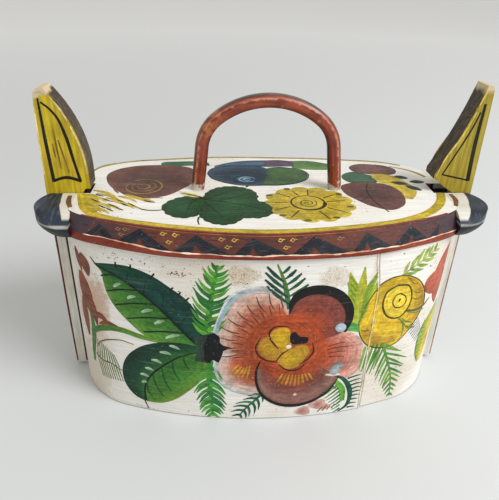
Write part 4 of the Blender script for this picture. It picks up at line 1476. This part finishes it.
def makeHandle():
    # Two leaning legs, two corner arcs and a crown arc; a rounded section is carried along them.
    g = handleSet
    lean = math.radians(g["lean"])
    reach = g["half"] - g["corner"]
    crown = (reach**2 + g["rise"] ** 2 - g["corner"] ** 2) / (2 * (g["rise"] - g["corner"]))
    joint = math.atan2(crown - g["rise"], reach)
    corner = np.linspace(lean, joint, 18)
    top = np.linspace(joint, math.pi - joint, 34)[1:-1]
    footX = reach + g["corner"] * math.cos(lean)
    footZ = g["spring"] + g["corner"] * math.sin(lean)
    legZ = np.linspace(g["low"], footZ, 26)[:-1]
    half = np.concatenate([
        np.stack([footX + (footZ - legZ) * math.tan(lean), legZ], 1),
        np.stack([reach + g["corner"] * np.cos(corner), g["spring"] + g["corner"] * np.sin(corner)], 1)])
    crownLine = np.stack([crown * np.cos(top), g["spring"] + g["rise"] - crown + crown * np.sin(top)], 1)
    path = np.concatenate([half, crownLine, (half * (-1, 1))[::-1]])
    ahead = np.gradient(path, axis=0)
    ahead /= np.linalg.norm(ahead, axis=1, keepdims=True)
    out = np.stack([ahead[:, 1], -ahead[:, 0]], 1)
    turn = np.linspace(0, 2 * math.pi, 33)
    power = 2 / g["roundness"]
    away = g["thick"] * np.sign(np.cos(turn)) * np.abs(np.cos(turn)) ** power
    front = g["wide"] * np.sign(np.sin(turn)) * np.abs(np.sin(turn)) ** power
    run = np.concatenate([[0], np.cumsum(np.linalg.norm(np.diff(path, axis=0), axis=1))])
    closing = np.concatenate([[0.0], np.ones(len(path)), [0.0]])[:, None]
    path, out, run = (np.concatenate([a[:1], a, a[-1:]]) for a in (path, out, run))
    points = np.stack([g["middle"] + path[:, :1] + out[:, :1] * away * closing,
                       -front * closing + 0 * path[:, :1],
                       path[:, 1:] + out[:, 1:] * away * closing], -1)
    brush = np.stack(np.broadcast_arrays(run[:, None] / 100, turn[None] / (2 * math.pi)), -1)
    handle = makeMesh("handleBar", points.reshape(-1, 3), gridFaces(*points.shape[:2]),
                      [handlePaint("handlePaint")], "lid", brush=brush.reshape(-1, 2))
    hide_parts("lid_handle")


def dress(node, material):
    # A kept CAD node takes one material; its mesh stays as it is.
    piece = frame["nodes"][node]
    piece.data.materials.clear()
    piece.data.materials.append(material)


postPaints = {}
for side in ("left", "right"):
    postPaints[side + "_post"] = postPaint(side + "PostPaint", side)
    dress(side + "_post", postPaints[side + "_post"])
postHeel("leftFinHeel", "left_post", -1, [(102.6, 131.5), (104.5, 128.5), (117.1, 128.5)],
         [(102.7, 131.8), (108, 131.5), (117.1, 131.4)])
postHeel("rightFinHeel", "right_post", 1, [(103, 136.2), (107.4, 132.8), (113, 129.2), (117.1, 128.5)],
         [(103.2, 136.6), (107.4, 134.4), (113, 131.5), (117.1, 131.4)])
makeHandle()
for node in frame["nodes"]:
    if "peg" in node:
        dress(node, pegWood)
dress("bottom_board", bareWood)
print("the kept pieces have their materials")

# Values for the floor, the light and the camera.
stageSet = {
    "floorColour": "#d0d2d2", "floorFar": "#f4f5f5", "farReach": (0.45, 1.9), "floorHalf": 9.0,
    "keyPower": 21.0, "keyPlace": (0.95, -0.65, 1.15), "keySize": 0.8, "keyAim": 0.08,
    "keyColour": (0.97, 0.985, 1.0),
    "worldColour": (0.87, 0.855, 0.825), "worldStrength": 0.76, "skyColour": "#cbcbc8",
}
cameraSet = {
    "place": (-27.063, -287.912, 248.475), "yaw": 3.975, "pitch": 29.30, "roll": 1.52,
    "focalPixels": 518.56, "frameWidth": 499, "sensor": 36.0,
}


def makeStage():
    # A wide flat floor: one square about the origin.
    g = stageSet
    side = np.array([-1.0, 1.0]) * g["floorHalf"]
    x, y = np.meshgrid(side, side, indexing="ij")
    points = np.stack([x, y, 0 * x], axis=-1).reshape(-1, 3)
    mesh = bpy.data.meshes.new("paleFloor")
    mesh.from_pydata(points.tolist(), [], gridFaces(2, 2).tolist())
    mesh.shade_smooth()
    floor = bpy.data.objects.new("paleFloor", mesh)
    bpy.context.collection.objects.link(floor)
    # Its colour pales with the distance from the middle, as the lamp's light falls off.
    n = Nodes("floorPaper")
    reach = n.add("ShaderNodeVectorMath")
    reach.operation = "LENGTH"
    n.join(n.objectPlace(), reach.inputs[0])
    away = n.ramp(reach.outputs["Value"], *g["farReach"])
    n.join(n.mix(away, g["floorColour"], g["floorFar"]), n.shader.inputs["Base Color"])
    n.shader.inputs["Roughness"].default_value = 0.8
    mesh.materials.append(n.material)


def makeLights():
    # One broad soft lamp from the right front, and an even pale sky.
    g = stageSet
    data = bpy.data.lights.new("window", "AREA")
    data.shape = "DISK"
    data.size = g["keySize"]
    data.energy = g["keyPower"]
    data.color = g["keyColour"]
    lamp = bpy.data.objects.new("window", data)
    place = np.array(g["keyPlace"])
    back = place - np.array([0, 0, g["keyAim"]])
    back /= np.linalg.norm(back)
    side = np.cross([0, 0, 1], back)
    side /= np.linalg.norm(side)
    turn = np.eye(4)
    turn[:3, 0], turn[:3, 1], turn[:3, 2], turn[:3, 3] = side, np.cross(back, side), back, place
    lamp.matrix_world = Matrix(turn.tolist())
    bpy.context.collection.objects.link(lamp)
    world = bpy.data.worlds.new("paleSky")
    world.use_nodes = True
    tree = world.node_tree
    sky = tree.nodes["Background"]
    sky.inputs["Color"].default_value = (*g["worldColour"], 1)
    sky.inputs["Strength"].default_value = g["worldStrength"]
    # The camera, and mirror-like rays, see a sky as pale as the floor's far part.
    seen = tree.nodes.new("ShaderNodeBackground")
    seen.inputs["Color"].default_value = (*tone(g["skyColour"]), 1)
    path = tree.nodes.new("ShaderNodeLightPath")
    share = path.outputs["Is Camera Ray"]
    for kind in ("Is Glossy Ray", "Is Transmission Ray"):
        most = tree.nodes.new("ShaderNodeMath")
        most.operation = "MAXIMUM"
        tree.links.new(share, most.inputs[0])
        tree.links.new(path.outputs[kind], most.inputs[1])
        share = most.outputs["Value"]
    blend = tree.nodes.new("ShaderNodeMixShader")
    tree.links.new(share, blend.inputs[0])
    tree.links.new(sky.outputs["Background"], blend.inputs[1])
    tree.links.new(seen.outputs["Background"], blend.inputs[2])
    tree.links.new(blend.outputs["Shader"], tree.nodes["World Output"].inputs["Surface"])
    bpy.context.scene.world = world
    bpy.context.scene.view_settings.view_transform = "Standard"


def makeCamera():
    # The view axis comes from yaw and pitch; roll turns right and up about it.
    yaw, pitch, roll = (math.radians(cameraSet[k]) for k in ("yaw", "pitch", "roll"))
    ahead = np.array([math.sin(yaw) * math.cos(pitch), math.cos(yaw) * math.cos(pitch),
                      -math.sin(pitch)])
    level = np.cross(ahead, [0, 0, 1])
    level /= np.linalg.norm(level)
    lift = np.cross(level, ahead)
    data = bpy.data.cameras.new("photoCamera")
    data.sensor_fit = "HORIZONTAL"
    data.sensor_width = cameraSet["sensor"]
    data.lens = cameraSet["focalPixels"] * cameraSet["sensor"] / cameraSet["frameWidth"]
    data.clip_start = 0.01
    item = bpy.data.objects.new("photoCamera", data)
    turn = np.eye(4)
    turn[:3, 0] = math.cos(roll) * level + math.sin(roll) * lift
    turn[:3, 1] = -math.sin(roll) * level + math.cos(roll) * lift
    turn[:3, 2] = -ahead
    turn[:3, 3] = np.array(cameraSet["place"]) * millimetre
    item.matrix_world = Matrix(turn.tolist())
    bpy.context.collection.objects.link(item)
    bpy.context.scene.camera = item


makeStage()
makeLights()
makeCamera()
triangles = sum(len(face.vertices) - 2 for item in bpy.data.objects if item.type == "MESH"
                for face in item.data.polygons)
print("the stage is set:", triangles, "triangles in all")
